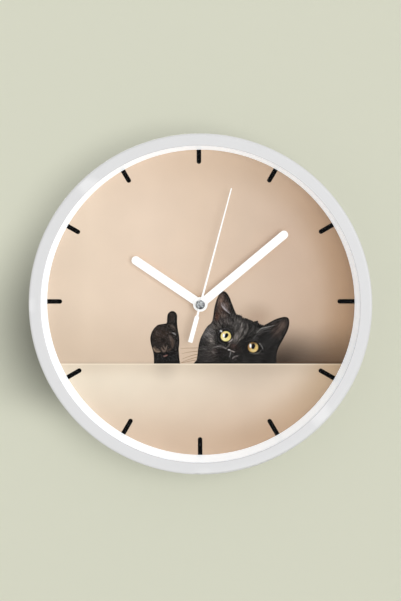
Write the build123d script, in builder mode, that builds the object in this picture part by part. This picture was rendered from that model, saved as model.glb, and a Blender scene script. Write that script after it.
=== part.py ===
from build123d import *

import os
from math import acos, atan2, cos, degrees, pi, radians, sin, tan

# A ten-inch round wall clock with a battery quartz movement, in millimetres.
#
# The origin is on the hands' axis, on the wall that the clock hangs against. +Z is up, +X is to the
# right of someone facing the clock, and the dial faces -Y. "Height" is the distance out from the wall,
# along -Y, and clock angles run clockwise from twelve as seen from the front.

os.makedirs("parts", exist_ok=True)

# ---------------------------------------------------------------- driving dimensions: the case
OUTER_R = 127.0
FRONT_H = 38.0
DRAFT = 3.9
WALL_T = 2.5
LIP_R = 118.1
LIP_T = 1.5
LENS_R = 121.0
LENS_T = 1.5
LENS_SEAT_R = LENS_R + 0.2
SEAT_DEPTH = 5.0
OUTER_ROUND = 1.6
BAND_DEPTH = 2.0
LIP_ROUND = 0.6

DIAL_H = 24.5
VISIBLE_DIAL_R = 114.4
PAPER_T = 0.3
BOARD_T = 2.2
BOARD_R = 116.8
DIAL_HOLE_R = 3.7
SPACER_FLANGE_T = 1.6
SPACER_WALL = 1.3

COVER_T = 2.5
COVER_R = 122.3
WINDOW = 60.0
COLLAR_T = 1.6
COLLAR_DROP = 5.0
RIB_T = 1.6
RIB_DROP = 3.0
RIB_RING_R = 95.0
RIB_COUNT = 12

SCREW_COUNT = 6
SCREW_CIRCLE_R = 120.2
BOSS_R = 3.0
BOSS_LENGTH = 5.4
SCREW_R = 1.4
SCREW_LENGTH = 6.8
SCREW_HEAD_R = 2.2
SCREW_HEAD_T = 1.8

POD_Z = 72.0
POD_WIDTH = 30.0
POD_TALL = 30.0
POD_REAR_H = 4.0
POD_WALL = 1.8
KEYHOLE_T = 2.0
KEYHOLE_R = 4.5
KEYHOLE_SLOT_R = 2.2
KEYHOLE_RISE = 8.0

# ---------------------------------------------------------------- driving dimensions: the movement
CASE = 56.0
CASE_WALL = 1.2
CASE_CORNER = 3.0
CASE_FRONT_H = 21.0
CASE_REAR_H = 5.0
CASE_SPLIT_H = 14.0
BUSH_R = 3.5
BUSH_TOP_H = 27.5
BAY_TOP_Z = -12.0
BAY_WALL = 1.0

BATTERY_R = 7.25
BATTERY_Z = -19.4
BATTERY_H = 12.4
BATTERY_LEFT_X = -24.8
BATTERY_LENGTH = 49.0
BATTERY_NUB_R = 2.75
BATTERY_NUB = 1.0

PLATE_LOW_H = 15.8
PLATE_T = 1.2
PIVOT_R = 0.4
RUNNING_GAP = 0.05

# ---------------------------------------------------------------- driving dimensions: the hands
HOUR_ANGLE = 304.3
MINUTE_ANGLE = 50.1
SECOND_ANGLE = 15.1
HUB_R = 5.4
HAND_T = 0.5
HOUR_LENGTH = 61.0
HOUR_WIDTH = 6.4
MINUTE_LENGTH = 83.8
MINUTE_WIDTH = 6.2
SECOND_LENGTH = 89.5
SECOND_TAIL = 29.1
SECOND_T = 0.3
NEEDLE_ROOT, NEEDLE_TIP = 0.75, 0.4
NECK_HALF, NECK_END = 0.78, 8.2
TAIL_HALF, TAIL_START = 1.65, 9.7
HOUR_TUBE_R = 2.5
MINUTE_TUBE_R = 1.6
SECOND_ARBOR_R = 0.5
HOUR_HAND_H = 28.4
MINUTE_HAND_H = 30.4
SECOND_HAND_H = 32.6
CAP_R = 3.42
CAP_T = 0.9
CAP_RIM_T = 0.35
CAP_FLAT_R = 1.6
CAP_DIMPLE_R = 1.1
CAP_DIMPLE_DEPTH = 0.3

# ---------------------------------------------------------------- driving dimensions: the gears
PRESSURE = radians(25.0)
WHEEL_ADDENDUM = 0.75
PINION_ADDENDUM = 0.85
DEDENDUM = 1.0
TOOTH_THINNING = 0.12

ROTOR_TEETH, DRIVE_TEETH = 10, 60
DRIVE_PINION, SECOND_TEETH = 10, 50
SECOND_PINION, THIRD_TEETH = 10, 75
THIRD_PINION, CENTRE_TEETH = 10, 80
CANNON_TEETH, REVERSE_TEETH = 12, 36
REVERSE_PINION, HOUR_TEETH = 10, 40
KNOB_TEETH = 18

THIRD_DISTANCE = 10.2
DRIVE_DISTANCE = 10.5
REVERSE_DISTANCE = 8.4
ROTOR_MODULE = 0.25
KNOB_MODULE = 2 * REVERSE_DISTANCE / (CANNON_TEETH + REVERSE_TEETH)


# ---------------------------------------------------------------- planes and places
SECTION = Plane(origin=(0, 0, 0), x_dir=(1, 0, 0), z_dir=(0, 0, -1))


def level(height):
    """The plane parallel to the wall at a height, facing out into the room."""
    return Plane.XZ.offset(height)


def hand_level(height, clock_angle):
    """The same plane, turned so that its own +Y points at a clock angle."""
    turn = radians(clock_angle)
    return Plane(origin=(0, -height, 0), x_dir=(cos(turn), 0, -sin(turn)), z_dir=(0, -1, 0))


def polar(radius, angle):
    """A point at a radius and an angle in degrees, measured anticlockwise from +X."""
    return (radius * cos(radians(angle)), radius * sin(radians(angle)))


def beyond(start, distance, angle):
    """The point that lies a distance away from start, at an angle in degrees."""
    step = polar(distance, angle)
    return (start[0] + step[0], start[1] + step[1])


def direction(start, end):
    """The angle in degrees of the line from start to end."""
    return degrees(atan2(end[1] - start[1], end[0] - start[0]))


MAIN = (0.0, 0.0)
THIRD = polar(THIRD_DISTANCE, 0)
DRIVE = polar(DRIVE_DISTANCE, 120)
ROTOR = beyond(DRIVE, ROTOR_MODULE * (ROTOR_TEETH + DRIVE_TEETH) / 2, 155)
REVERSE = polar(REVERSE_DISTANCE, 190)
KNOB = beyond(REVERSE, KNOB_MODULE * (REVERSE_TEETH + KNOB_TEETH) / 2, 190)

BOARD_REAR_H = DIAL_H - PAPER_T - BOARD_T
COVER_REAR_H = BOARD_REAR_H - COVER_T
LENS_TOP_H = FRONT_H - LIP_T
LENS_LOW_H = LENS_TOP_H - LENS_T
SEAT_H = FRONT_H - SEAT_DEPTH
CASE_INSIDE = CASE - 2 * CASE_WALL
FLOOR_H = CASE_FRONT_H - CASE_WALL
BACK_H = CASE_REAR_H + CASE_WALL
PLATE_TOP_H = PLATE_LOW_H + PLATE_T
REAR_PIVOT_H = BACK_H + 0.4
REAR_SHOULDER_H = BACK_H + 1.6


# ---------------------------------------------------------------- gears
def module_for(distance, teeth, other_teeth):
    """The module that makes two gears mesh at a distance between their axes."""
    return 2 * distance / (teeth + other_teeth)


def root_radius(teeth, module):
    """The radius of the solid disc under the teeth."""
    return module * (teeth / 2 - DEDENDUM)


def tooth_face(teeth, module, addendum):
    """One involute tooth along +X, reaching a little way into the disc that carries it."""
    pitch_r = module * teeth / 2
    base_r = pitch_r * cos(PRESSURE)
    root_r = root_radius(teeth, module)
    tip_r = pitch_r + addendum * module
    half_at_pitch = pi / (2 * teeth) - TOOTH_THINNING * module / (2 * pitch_r)

    def half_angle(radius):
        roll = acos(min(1.0, base_r / radius))
        return half_at_pitch + (tan(PRESSURE) - PRESSURE) - (tan(roll) - roll)

    start_r = max(base_r, root_r)
    flank = [start_r + (tip_r - start_r) * step / 3 for step in range(4)]
    radii = [root_r - 0.2 * module] + flank
    side = [(r * cos(half_angle(r)), r * sin(half_angle(r))) for r in radii]
    with BuildSketch() as tooth:
        with BuildLine():
            Polyline(*side, *[(x, -y) for x, y in reversed(side)], close=True)
        make_face()
    return tooth.sketch


def meshed_turn(teeth, turn, angle, other_teeth):
    """The turn of a second gear, in degrees, that puts it in mesh with a first one.

    angle is the direction from the first gear's axis to the second's.
    """
    return angle + 180 + 180 / other_teeth - (turn - angle) * teeth / other_teeth


def add_gear(centre, low, high, teeth, module, addendum, turn):
    """Adds a toothed disc between two heights to the part being built."""
    tooth = tooth_face(teeth, module, addendum)
    with BuildSketch(level(low)) as outline:
        with Locations(centre):
            Circle(root_radius(teeth, module))
            with PolarLocations(0, teeth, start_angle=turn):
                add(tooth)
    extrude(outline.sketch, amount=high - low)


def add_rod(centre, low, high, radius, mode=Mode.ADD):
    """Adds a round rod between two heights, or cuts a round hole with Mode.SUBTRACT."""
    with BuildSketch(level(low)) as outline:
        with Locations(centre):
            Circle(radius)
    extrude(outline.sketch, amount=high - low, mode=mode)


def add_block(low, high, width, tall, centre=(0, 0), mode=Mode.ADD):
    """Adds a rectangular block between two heights, or cuts one with Mode.SUBTRACT."""
    with BuildSketch(level(low)) as outline:
        with Locations(centre):
            Rectangle(width, tall)
    extrude(outline.sketch, amount=high - low, mode=mode)


def edges_at(height):
    """The edges of the part being built that lie in the plane at a height."""
    return edges().filter_by_position(Axis.Y, -height - 0.01, -height + 0.01)


finished = []


def finish(built, label):
    """Labels a finished piece and keeps it for export."""
    built.part.label = label
    finished.append(built.part)


# ================================================================ the case
# The white ring: front band, outer wall back to the wall, lens seat and six screw bosses.
seat_inner_r = OUTER_R - WALL_T - DRAFT * (SEAT_DEPTH - BAND_DEPTH) / (FRONT_H - BAND_DEPTH)
with BuildPart() as case_ring:
    with BuildSketch(SECTION):
        with BuildLine():
            Polyline(
                (LIP_R, FRONT_H),
                (OUTER_R, FRONT_H),
                (OUTER_R, FRONT_H - BAND_DEPTH),
                (OUTER_R - DRAFT, 0),
                (OUTER_R - DRAFT - WALL_T, 0),
                (seat_inner_r, SEAT_H),
                (LENS_SEAT_R, SEAT_H),
                (LENS_SEAT_R, LENS_TOP_H),
                (LIP_R, LENS_TOP_H),
                close=True,
            )
        make_face()
    revolve(axis=Axis.Y)
    front_edges = edges_at(FRONT_H).sort_by(SortBy.LENGTH)
    fillet(front_edges[-1], OUTER_ROUND)
    fillet(edges_at(FRONT_H).sort_by(SortBy.LENGTH)[0], LIP_ROUND)
    with BuildSketch(level(BOARD_REAR_H)):
        with PolarLocations(SCREW_CIRCLE_R, SCREW_COUNT, start_angle=30):
            Circle(BOSS_R)
        with PolarLocations(SCREW_CIRCLE_R + BOSS_R / 2, SCREW_COUNT, start_angle=30):
            Rectangle(BOSS_R + 1.4, 2.4)
    extrude(amount=BOSS_LENGTH)
    with BuildSketch(level(BOARD_REAR_H)):
        with PolarLocations(SCREW_CIRCLE_R, SCREW_COUNT, start_angle=30):
            Circle(SCREW_R + RUNNING_GAP)
    extrude(amount=BOSS_LENGTH - 0.8, mode=Mode.SUBTRACT)
finish(case_ring, "case_ring")

# The clear flat lens, held between the lip and the spacer.
with BuildPart() as lens:
    add_rod(MAIN, LENS_LOW_H, LENS_TOP_H, LENS_R)
finish(lens, "lens")

# The bright sloping ring between the lens and the dial.
with BuildPart() as spacer_ring:
    with BuildSketch(SECTION):
        with BuildLine():
            Polyline(
                (LIP_R, LENS_LOW_H),
                (LENS_R, LENS_LOW_H),
                (LENS_R, LENS_LOW_H - SPACER_FLANGE_T),
                (LIP_R + SPACER_WALL, LENS_LOW_H - SPACER_FLANGE_T),
                (VISIBLE_DIAL_R + SPACER_WALL, DIAL_H),
                (VISIBLE_DIAL_R, DIAL_H),
                close=True,
            )
        make_face()
    revolve(axis=Axis.Y)
finish(spacer_ring, "spacer_ring")

# The printed paper face and the board that it is glued to.
with BuildPart() as dial_paper:
    add_rod(MAIN, DIAL_H - PAPER_T, DIAL_H, BOARD_R)
    add_rod(MAIN, DIAL_H - PAPER_T, DIAL_H, DIAL_HOLE_R, mode=Mode.SUBTRACT)
finish(dial_paper, "dial_paper")

with BuildPart() as dial_board:
    add_rod(MAIN, BOARD_REAR_H, DIAL_H - PAPER_T, BOARD_R)
    add_rod(MAIN, BOARD_REAR_H, DIAL_H - PAPER_T, DIAL_HOLE_R, mode=Mode.SUBTRACT)
finish(dial_board, "dial_board")

# The moulded back cover: ribs, a collar round the movement, and a pod with the hanging keyhole.
POD_OUTSIDE = (POD_WIDTH, POD_TALL)
POD_INSIDE = (POD_WIDTH - 2 * POD_WALL, POD_TALL - 2 * POD_WALL)
KEYHOLE_Z = POD_Z - 3.0
with BuildPart() as back_cover:
    add_rod(MAIN, COVER_REAR_H, BOARD_REAR_H, COVER_R)
    with BuildSketch(level(COVER_REAR_H - RIB_DROP)):
        Circle(RIB_RING_R + RIB_T / 2)
        Circle(RIB_RING_R - RIB_T / 2, mode=Mode.SUBTRACT)
        with PolarLocations(0, RIB_COUNT, start_angle=15):
            with Locations(((RIB_RING_R + 45) / 2, 0)):
                Rectangle(RIB_RING_R - 45, RIB_T)
    extrude(amount=RIB_DROP)
    with BuildSketch(level(COVER_REAR_H - COLLAR_DROP)):
        RectangleRounded(WINDOW + 2 * COLLAR_T, WINDOW + 2 * COLLAR_T, CASE_CORNER + COLLAR_T)
    extrude(amount=COLLAR_DROP)
    with BuildSketch(level(COVER_REAR_H - COLLAR_DROP)):
        RectangleRounded(WINDOW, WINDOW, CASE_CORNER)
    extrude(amount=COLLAR_DROP + COVER_T, mode=Mode.SUBTRACT)
    with BuildSketch(level(POD_REAR_H)):
        with Locations((0, POD_Z)):
            RectangleRounded(*POD_OUTSIDE, CASE_CORNER)
    extrude(amount=COVER_REAR_H - POD_REAR_H)
    with BuildSketch(level(POD_REAR_H + KEYHOLE_T)):
        with Locations((0, POD_Z)):
            RectangleRounded(*POD_INSIDE, CASE_CORNER - POD_WALL)
    extrude(amount=BOARD_REAR_H - POD_REAR_H - KEYHOLE_T, mode=Mode.SUBTRACT)
    with BuildSketch(level(POD_REAR_H)):
        with Locations((0, KEYHOLE_Z)):
            Circle(KEYHOLE_R)
        with Locations((0, KEYHOLE_Z + KEYHOLE_RISE / 2)):
            Rectangle(2 * KEYHOLE_SLOT_R, KEYHOLE_RISE)
        with Locations((0, KEYHOLE_Z + KEYHOLE_RISE)):
            Circle(KEYHOLE_SLOT_R)
    extrude(amount=KEYHOLE_T, mode=Mode.SUBTRACT)
    with BuildSketch(level(COVER_REAR_H)):
        with PolarLocations(SCREW_CIRCLE_R, SCREW_COUNT, start_angle=30):
            Circle(SCREW_R + 0.3)
    extrude(amount=COVER_T, mode=Mode.SUBTRACT)
finish(back_cover, "back_cover")

# Six pan-head screws that hold the cover to the ring's bosses.
with BuildPart() as cover_screws:
    with BuildSketch(level(COVER_REAR_H)):
        with PolarLocations(SCREW_CIRCLE_R, SCREW_COUNT, start_angle=30):
            Circle(SCREW_R)
    extrude(amount=SCREW_LENGTH)
    with BuildSketch(level(COVER_REAR_H - SCREW_HEAD_T)):
        with PolarLocations(SCREW_CIRCLE_R, SCREW_COUNT, start_angle=30):
            Circle(SCREW_HEAD_R)
    extrude(amount=SCREW_HEAD_T)
    fillet(edges_at(COVER_REAR_H - SCREW_HEAD_T), 0.6)
    with BuildSketch(level(COVER_REAR_H - SCREW_HEAD_T)):
        with PolarLocations(SCREW_CIRCLE_R, SCREW_COUNT, start_angle=30):
            Rectangle(2.6, 0.6)
            Rectangle(0.6, 2.6)
    extrude(amount=1.0, mode=Mode.SUBTRACT)
finish(cover_screws, "cover_screws")


# ================================================================ the movement's case
PLATE_POSTS = [(-24.0, 24.0), (24.0, 24.0), (24.0, -8.4), (-24.6, -8.4)]
POST_R = 1.5
POST_PIN_R = 0.8
KNOB_SHAFT_R = 1.5
KNOB_PIN_R = 0.6
REVERSE_POST_R = 0.75


def add_case_walls(low, high):
    """Adds the square side walls and the battery bay's wall between two heights."""
    with BuildSketch(level(low)) as outline:
        RectangleRounded(CASE, CASE, CASE_CORNER)
        RectangleRounded(CASE_INSIDE, CASE_INSIDE, CASE_CORNER - CASE_WALL, mode=Mode.SUBTRACT)
        with Locations((0, BAY_TOP_Z + BAY_WALL / 2)):
            Rectangle(CASE - CASE_WALL, BAY_WALL)
    extrude(outline.sketch, amount=high - low)


# Front half: floor, threaded bush, posts for the train plate and for the reversing wheel.
with BuildPart() as movement_base:
    add_case_walls(CASE_SPLIT_H, FLOOR_H)
    with BuildSketch(level(FLOOR_H)):
        RectangleRounded(CASE, CASE, CASE_CORNER)
    extrude(amount=CASE_WALL)
    add_rod(MAIN, CASE_FRONT_H, BUSH_TOP_H, BUSH_R)
    chamfer(edges_at(BUSH_TOP_H), 0.3)
    add_rod(MAIN, FLOOR_H, BUSH_TOP_H, HOUR_TUBE_R + RUNNING_GAP, mode=Mode.SUBTRACT)
    for post in PLATE_POSTS:
        add_rod(post, PLATE_TOP_H, FLOOR_H, POST_R)
        add_rod(post, PLATE_LOW_H - 0.6, PLATE_TOP_H, POST_PIN_R)
    add_rod(REVERSE, PLATE_TOP_H + 0.1, FLOOR_H, REVERSE_POST_R)
    add_rod(KNOB, FLOOR_H, FLOOR_H + 0.8, KNOB_PIN_R + RUNNING_GAP, mode=Mode.SUBTRACT)
finish(movement_base, "movement_base")

# Rear half: back wall, bearings for the arbors, the open battery bay and the contacts' notches.
BEARING_R = 1.7
BEARING_H = REAR_SHOULDER_H - 0.1
NOTCH_X = 26.4
with BuildPart() as movement_cover:
    add_case_walls(CASE_REAR_H, CASE_SPLIT_H)
    add_block(
        CASE_REAR_H,
        BACK_H,
        CASE_INSIDE,
        CASE_INSIDE / 2 - BAY_TOP_Z,
        (0, (CASE_INSIDE / 2 + BAY_TOP_Z) / 2),
    )
    for bearing in (THIRD, DRIVE, ROTOR):
        add_rod(bearing, BACK_H, BEARING_H, BEARING_R)
        add_rod(bearing, BACK_H + 0.2, BEARING_H, PIVOT_R + RUNNING_GAP, mode=Mode.SUBTRACT)
    add_rod(MAIN, BACK_H, BEARING_H, BEARING_R)
    add_rod(MAIN, BACK_H + 0.2, BEARING_H, SECOND_ARBOR_R + RUNNING_GAP, mode=Mode.SUBTRACT)
    add_rod(KNOB, CASE_REAR_H, BACK_H, KNOB_SHAFT_R + RUNNING_GAP, mode=Mode.SUBTRACT)
    for side in (-1, 1):
        add_block(9.8, CASE_SPLIT_H, 0.8, 4.0, (side * NOTCH_X, BAY_TOP_Z), mode=Mode.SUBTRACT)
finish(movement_cover, "movement_cover")

# The plate that carries the front pivots of the train.
with BuildPart() as train_plate:
    with BuildSketch(level(PLATE_LOW_H)):
        with Locations((0, 8.1)):
            RectangleRounded(52.6, 36.8, 2.0)
    extrude(amount=PLATE_T)
    add_rod(MAIN, PLATE_LOW_H, PLATE_TOP_H, MINUTE_TUBE_R + 0.2, mode=Mode.SUBTRACT)
    add_rod(KNOB, PLATE_LOW_H, PLATE_TOP_H, KNOB_SHAFT_R + 0.1, mode=Mode.SUBTRACT)
    for post in PLATE_POSTS:
        add_rod(post, PLATE_LOW_H, PLATE_TOP_H, POST_PIN_R + RUNNING_GAP, mode=Mode.SUBTRACT)
    for bearing in (THIRD, DRIVE, ROTOR):
        add_rod(bearing, PLATE_LOW_H, PLATE_TOP_H, PIVOT_R + RUNNING_GAP, mode=Mode.SUBTRACT)
finish(train_plate, "train_plate")

# What clamps the movement to the dial: a soft washer behind, a brass washer and a hexagon nut in front.
with BuildPart() as rubber_washer:
    add_rod(MAIN, CASE_FRONT_H, BOARD_REAR_H, 11.0)
    add_rod(MAIN, CASE_FRONT_H, BOARD_REAR_H, BUSH_R + 0.1, mode=Mode.SUBTRACT)
finish(rubber_washer, "rubber_washer")

with BuildPart() as brass_washer:
    add_rod(MAIN, DIAL_H, DIAL_H + 0.5, 5.2)
    add_rod(MAIN, DIAL_H, DIAL_H + 0.5, BUSH_R + 0.1, mode=Mode.SUBTRACT)
finish(brass_washer, "brass_washer")

with BuildPart() as hex_nut:
    with BuildSketch(level(DIAL_H + 0.5)):
        RegularPolygon(4.5, 6, major_radius=False)
        Circle(BUSH_R + 0.03, mode=Mode.SUBTRACT)
    extrude(amount=1.9)
finish(hex_nut, "hex_nut")


# ================================================================ power and circuit
# A standard AA cell lying across the bottom of the movement.
CELL_END = Plane(origin=(BATTERY_LEFT_X, -BATTERY_H, BATTERY_Z), x_dir=(0, -1, 0), z_dir=(1, 0, 0))
with BuildPart() as battery:
    with BuildSketch(CELL_END):
        Circle(BATTERY_R)
    extrude(amount=BATTERY_LENGTH)
    fillet(battery.edges().filter_by(GeomType.CIRCLE), 0.5)
    with BuildSketch(CELL_END.offset(BATTERY_LENGTH)):
        Circle(BATTERY_NUB_R)
    extrude(amount=BATTERY_NUB)
finish(battery, "battery")

# Bent strip contacts at the two ends of the bay, each with a tail that climbs to the circuit.
STRIP_T = 0.4
STRIP_OUT_X = 26.7
BOARD_LOW_H = 14.2
BOARD_LEFT_X = 15.7
with BuildPart() as contact_positive:
    add_block(8.0, 16.5, STRIP_T, 10.0, (STRIP_OUT_X - STRIP_T / 2, BATTERY_Z))
    add_block(10.0, 13.5, STRIP_T, 18.0, (STRIP_OUT_X - STRIP_T / 2, -8.0))
    add_block(13.5, BOARD_LOW_H + 0.8, STRIP_T, 4.0, (STRIP_OUT_X - STRIP_T / 2, -1.0))
    with BuildSketch(Plane.YZ.offset(STRIP_OUT_X - STRIP_T)):
        with Locations((-BATTERY_H, BATTERY_Z)):
            Circle(1.6)
    extrude(amount=-1.05, taper=20)
finish(contact_positive, "contact_positive")

with BuildPart() as contact_negative:
    add_block(8.0, 16.5, STRIP_T, 10.0, (-STRIP_OUT_X + STRIP_T / 2, BATTERY_Z))
    add_block(10.0, 13.5, STRIP_T, 9.0, (-STRIP_OUT_X + STRIP_T / 2, -15.1))
    add_block(10.0, 12.5, 43.0, STRIP_T, (-STRIP_OUT_X + 21.5, -10.8))
    add_block(10.0, BOARD_LOW_H, 1.2, STRIP_T, (BOARD_LEFT_X + 0.6, -10.8))
    with BuildSketch(level(BATTERY_H - 2.0)):
        with BuildLine():
            Polyline(
                (-STRIP_OUT_X + STRIP_T, BATTERY_Z + 4.6),
                (-STRIP_OUT_X + STRIP_T + 0.4, BATTERY_Z + 4.6),
                (-24.9, BATTERY_Z + 0.6),
                (-24.9, BATTERY_Z - 0.6),
                (-STRIP_OUT_X + STRIP_T + 0.5, BATTERY_Z - 4.2),
                (-STRIP_OUT_X + STRIP_T + 0.2, BATTERY_Z - 4.0),
                (-25.2, BATTERY_Z - 0.4),
                (-25.2, BATTERY_Z + 0.4),
                (-STRIP_OUT_X + STRIP_T, BATTERY_Z + 4.0),
                close=True,
            )
        make_face()
    extrude(amount=4.0)
finish(contact_negative, "contact_negative")

# The drive coil: bobbin, winding, core and the stator plate round the rotor.
COIL_Z = 22.0
CORE_LOW_H = 12.0
CORE_T = 0.9
CORE_TALL = 3.0
COIL_H = CORE_LOW_H + CORE_T / 2
COIL_HALF = 8.5
FLANGE_T = 0.8
COIL_AXIS = Plane(origin=(-COIL_HALF - FLANGE_T, -COIL_H, COIL_Z), x_dir=(0, -1, 0), z_dir=(1, 0, 0))
CORE_SLOT = (CORE_T + 0.1, CORE_TALL + 0.1)
with BuildPart() as coil_bobbin:
    with BuildSketch(COIL_AXIS, COIL_AXIS.offset(2 * COIL_HALF + FLANGE_T)):
        Circle(3.2)
    extrude(amount=FLANGE_T)
    with BuildSketch(COIL_AXIS):
        Circle(2.0)
    extrude(amount=2 * (COIL_HALF + FLANGE_T))
    with BuildSketch(COIL_AXIS):
        Rectangle(*CORE_SLOT)
    extrude(amount=2 * (COIL_HALF + FLANGE_T), mode=Mode.SUBTRACT)
finish(coil_bobbin, "coil_bobbin")

with BuildPart() as coil_winding:
    with BuildSketch(COIL_AXIS.offset(FLANGE_T)):
        Circle(2.95)
        Circle(2.0, mode=Mode.SUBTRACT)
    extrude(amount=2 * COIL_HALF)
finish(coil_winding, "coil_winding")

with BuildPart() as coil_core:
    add_block(CORE_LOW_H, CORE_LOW_H + CORE_T, 29.0, CORE_TALL, (-1.5, COIL_Z))
finish(coil_core, "coil_core")

STATOR_LOW_H = CORE_LOW_H - CORE_T
STATOR_HOLE_R = 3.5
with BuildPart() as stator_plate:
    with BuildSketch(level(STATOR_LOW_H)):
        with Locations(ROTOR):
            Circle(5.8)
        with Locations((-14.0, 19.0)):
            Rectangle(4.0, 9.0)
        with Locations((11.5, 18.5)):
            Rectangle(3.6, 10.0)
        with Locations((1.0, 15.0)):
            Rectangle(24.0, 3.0)
        with Locations(ROTOR):
            Circle(STATOR_HOLE_R, mode=Mode.SUBTRACT)
    extrude(amount=CORE_T)
finish(stator_plate, "stator_plate")

# The circuit board with its blob-topped chip and the quartz crystal in a can.
BOARD_X = 21.0
with BuildPart() as circuit_board:
    add_block(BOARD_LOW_H, BOARD_LOW_H + 0.8, 10.6, 32.5, (BOARD_X, 5.3))
    add_block(BOARD_LOW_H, BOARD_LOW_H + 0.8, 5.0, 5.0, (24.0, 21.0), mode=Mode.SUBTRACT)
    with BuildSketch(level(BOARD_LOW_H + 0.8)):
        with Locations((17.4, 19.5), (24.4, -2.5)):
            Circle(0.9)
    extrude(amount=PLATE_LOW_H - BOARD_LOW_H - 0.8)
finish(circuit_board, "circuit_board")

with BuildPart() as clock_chip:
    with BuildSketch(level(BOARD_LOW_H)):
        with Locations((20.6, 15.0)):
            Circle(2.8)
    extrude(amount=-1.1, taper=35)
finish(clock_chip, "clock_chip")

CRYSTAL_R = 1.0
with BuildPart() as quartz_crystal:
    with BuildSketch(Plane.XY.offset(0.0)):
        with Locations((23.6, -(BOARD_LOW_H - CRYSTAL_R))):
            Circle(CRYSTAL_R)
    extrude(amount=6.2)
    fillet(quartz_crystal.edges().group_by(Axis.Z)[-1], 0.3)
finish(quartz_crystal, "quartz_crystal")


# ================================================================ the gear train
SECOND_MODULE = module_for(DRIVE_DISTANCE, DRIVE_PINION, SECOND_TEETH)
THIRD_MODULE = module_for(THIRD_DISTANCE, SECOND_PINION, THIRD_TEETH)
CENTRE_MODULE = module_for(THIRD_DISTANCE, THIRD_PINION, CENTRE_TEETH)
REVERSE_MODULE = module_for(REVERSE_DISTANCE, CANNON_TEETH, REVERSE_TEETH)
HOUR_MODULE = module_for(REVERSE_DISTANCE, REVERSE_PINION, HOUR_TEETH)

DRIVE_H = (9.6, 10.4)
SECOND_H = (11.1, 11.9)
THIRD_H = (12.8, 13.6)
CENTRE_H = (14.7, 15.5)
REVERSE_H = (17.3, 18.3)
HOUR_H = (18.6, 19.6)


def add_pivots(centre, arbor_r, front_shoulder_h):
    """Adds an arbor from the rear bearing to a front shoulder, with a thin pivot at each end."""
    add_rod(centre, REAR_SHOULDER_H, front_shoulder_h, arbor_r)
    add_rod(centre, REAR_PIVOT_H, REAR_SHOULDER_H, PIVOT_R)
    add_rod(centre, front_shoulder_h, PLATE_TOP_H - 0.2, PIVOT_R)


# Rotor: a two-pole magnet on a moulded pinion.
rotor_turn = direction(ROTOR, DRIVE)
MAGNET_R = 3.0
MAGNET_H = (10.7, 12.4)
with BuildPart() as rotor_pinion:
    pinion_h = (DRIVE_H[0] - 0.2, DRIVE_H[1] + 0.2)
    add_gear(ROTOR, *pinion_h, ROTOR_TEETH, ROTOR_MODULE, PINION_ADDENDUM, rotor_turn)
    add_pivots(ROTOR, 0.8, PLATE_LOW_H - 0.2)
finish(rotor_pinion, "rotor_pinion")

with BuildPart() as rotor_magnet:
    add_rod(ROTOR, *MAGNET_H, MAGNET_R)
    add_rod(ROTOR, *MAGNET_H, 0.8, mode=Mode.SUBTRACT)
finish(rotor_magnet, "rotor_magnet")

# Drive wheel: takes half a turn a second down to the second wheel.
drive_turn = meshed_turn(ROTOR_TEETH, rotor_turn, direction(ROTOR, DRIVE), DRIVE_TEETH)
drive_pinion_turn = direction(DRIVE, MAIN)
with BuildPart() as drive_wheel:
    add_gear(DRIVE, *DRIVE_H, DRIVE_TEETH, ROTOR_MODULE, WHEEL_ADDENDUM, drive_turn)
    add_gear(
        DRIVE, DRIVE_H[1], SECOND_H[1] + 0.2,
        DRIVE_PINION, SECOND_MODULE, PINION_ADDENDUM, drive_pinion_turn,
    )
    add_pivots(DRIVE, 0.6, PLATE_LOW_H - 0.2)
finish(drive_wheel, "drive_wheel")

# Second wheel and the thin steel arbor that carries the second hand through the other tubes.
second_turn = meshed_turn(DRIVE_PINION, drive_pinion_turn, direction(DRIVE, MAIN), SECOND_TEETH)
second_pinion_turn = direction(MAIN, THIRD)
with BuildPart() as second_wheel:
    add_gear(MAIN, *SECOND_H, SECOND_TEETH, SECOND_MODULE, WHEEL_ADDENDUM, second_turn)
    add_gear(
        MAIN, SECOND_H[1], THIRD_H[1] + 0.05,
        SECOND_PINION, THIRD_MODULE, PINION_ADDENDUM, second_pinion_turn,
    )
    add_rod(MAIN, SECOND_H[0] - 0.5, SECOND_H[0], 1.4)
    add_rod(MAIN, SECOND_H[0] - 0.5, THIRD_H[1] + 0.05, SECOND_ARBOR_R, mode=Mode.SUBTRACT)
finish(second_wheel, "second_wheel")

with BuildPart() as second_arbor:
    add_rod(MAIN, REAR_PIVOT_H, SECOND_HAND_H + 0.4, SECOND_ARBOR_R)
finish(second_arbor, "second_arbor")

# Third wheel: between the second wheel's pinion and the centre wheel.
third_turn = meshed_turn(SECOND_PINION, second_pinion_turn, direction(MAIN, THIRD), THIRD_TEETH)
third_pinion_turn = direction(THIRD, MAIN)
with BuildPart() as third_wheel:
    add_gear(THIRD, *THIRD_H, THIRD_TEETH, THIRD_MODULE, WHEEL_ADDENDUM, third_turn)
    add_gear(
        THIRD, THIRD_H[1], CENTRE_H[1] + 0.1,
        THIRD_PINION, CENTRE_MODULE, PINION_ADDENDUM, third_pinion_turn,
    )
    add_pivots(THIRD, 0.7, PLATE_LOW_H - 0.1)
finish(third_wheel, "third_wheel")

# Centre wheel, held on the minute tube by a spring washer and a collar so that it can slip.
centre_turn = meshed_turn(THIRD_PINION, third_pinion_turn, direction(THIRD, MAIN), CENTRE_TEETH)
with BuildPart() as centre_wheel:
    add_gear(MAIN, *CENTRE_H, CENTRE_TEETH, CENTRE_MODULE, WHEEL_ADDENDUM, centre_turn)
    add_rod(MAIN, *CENTRE_H, MINUTE_TUBE_R + 0.03, mode=Mode.SUBTRACT)
finish(centre_wheel, "centre_wheel")

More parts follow.
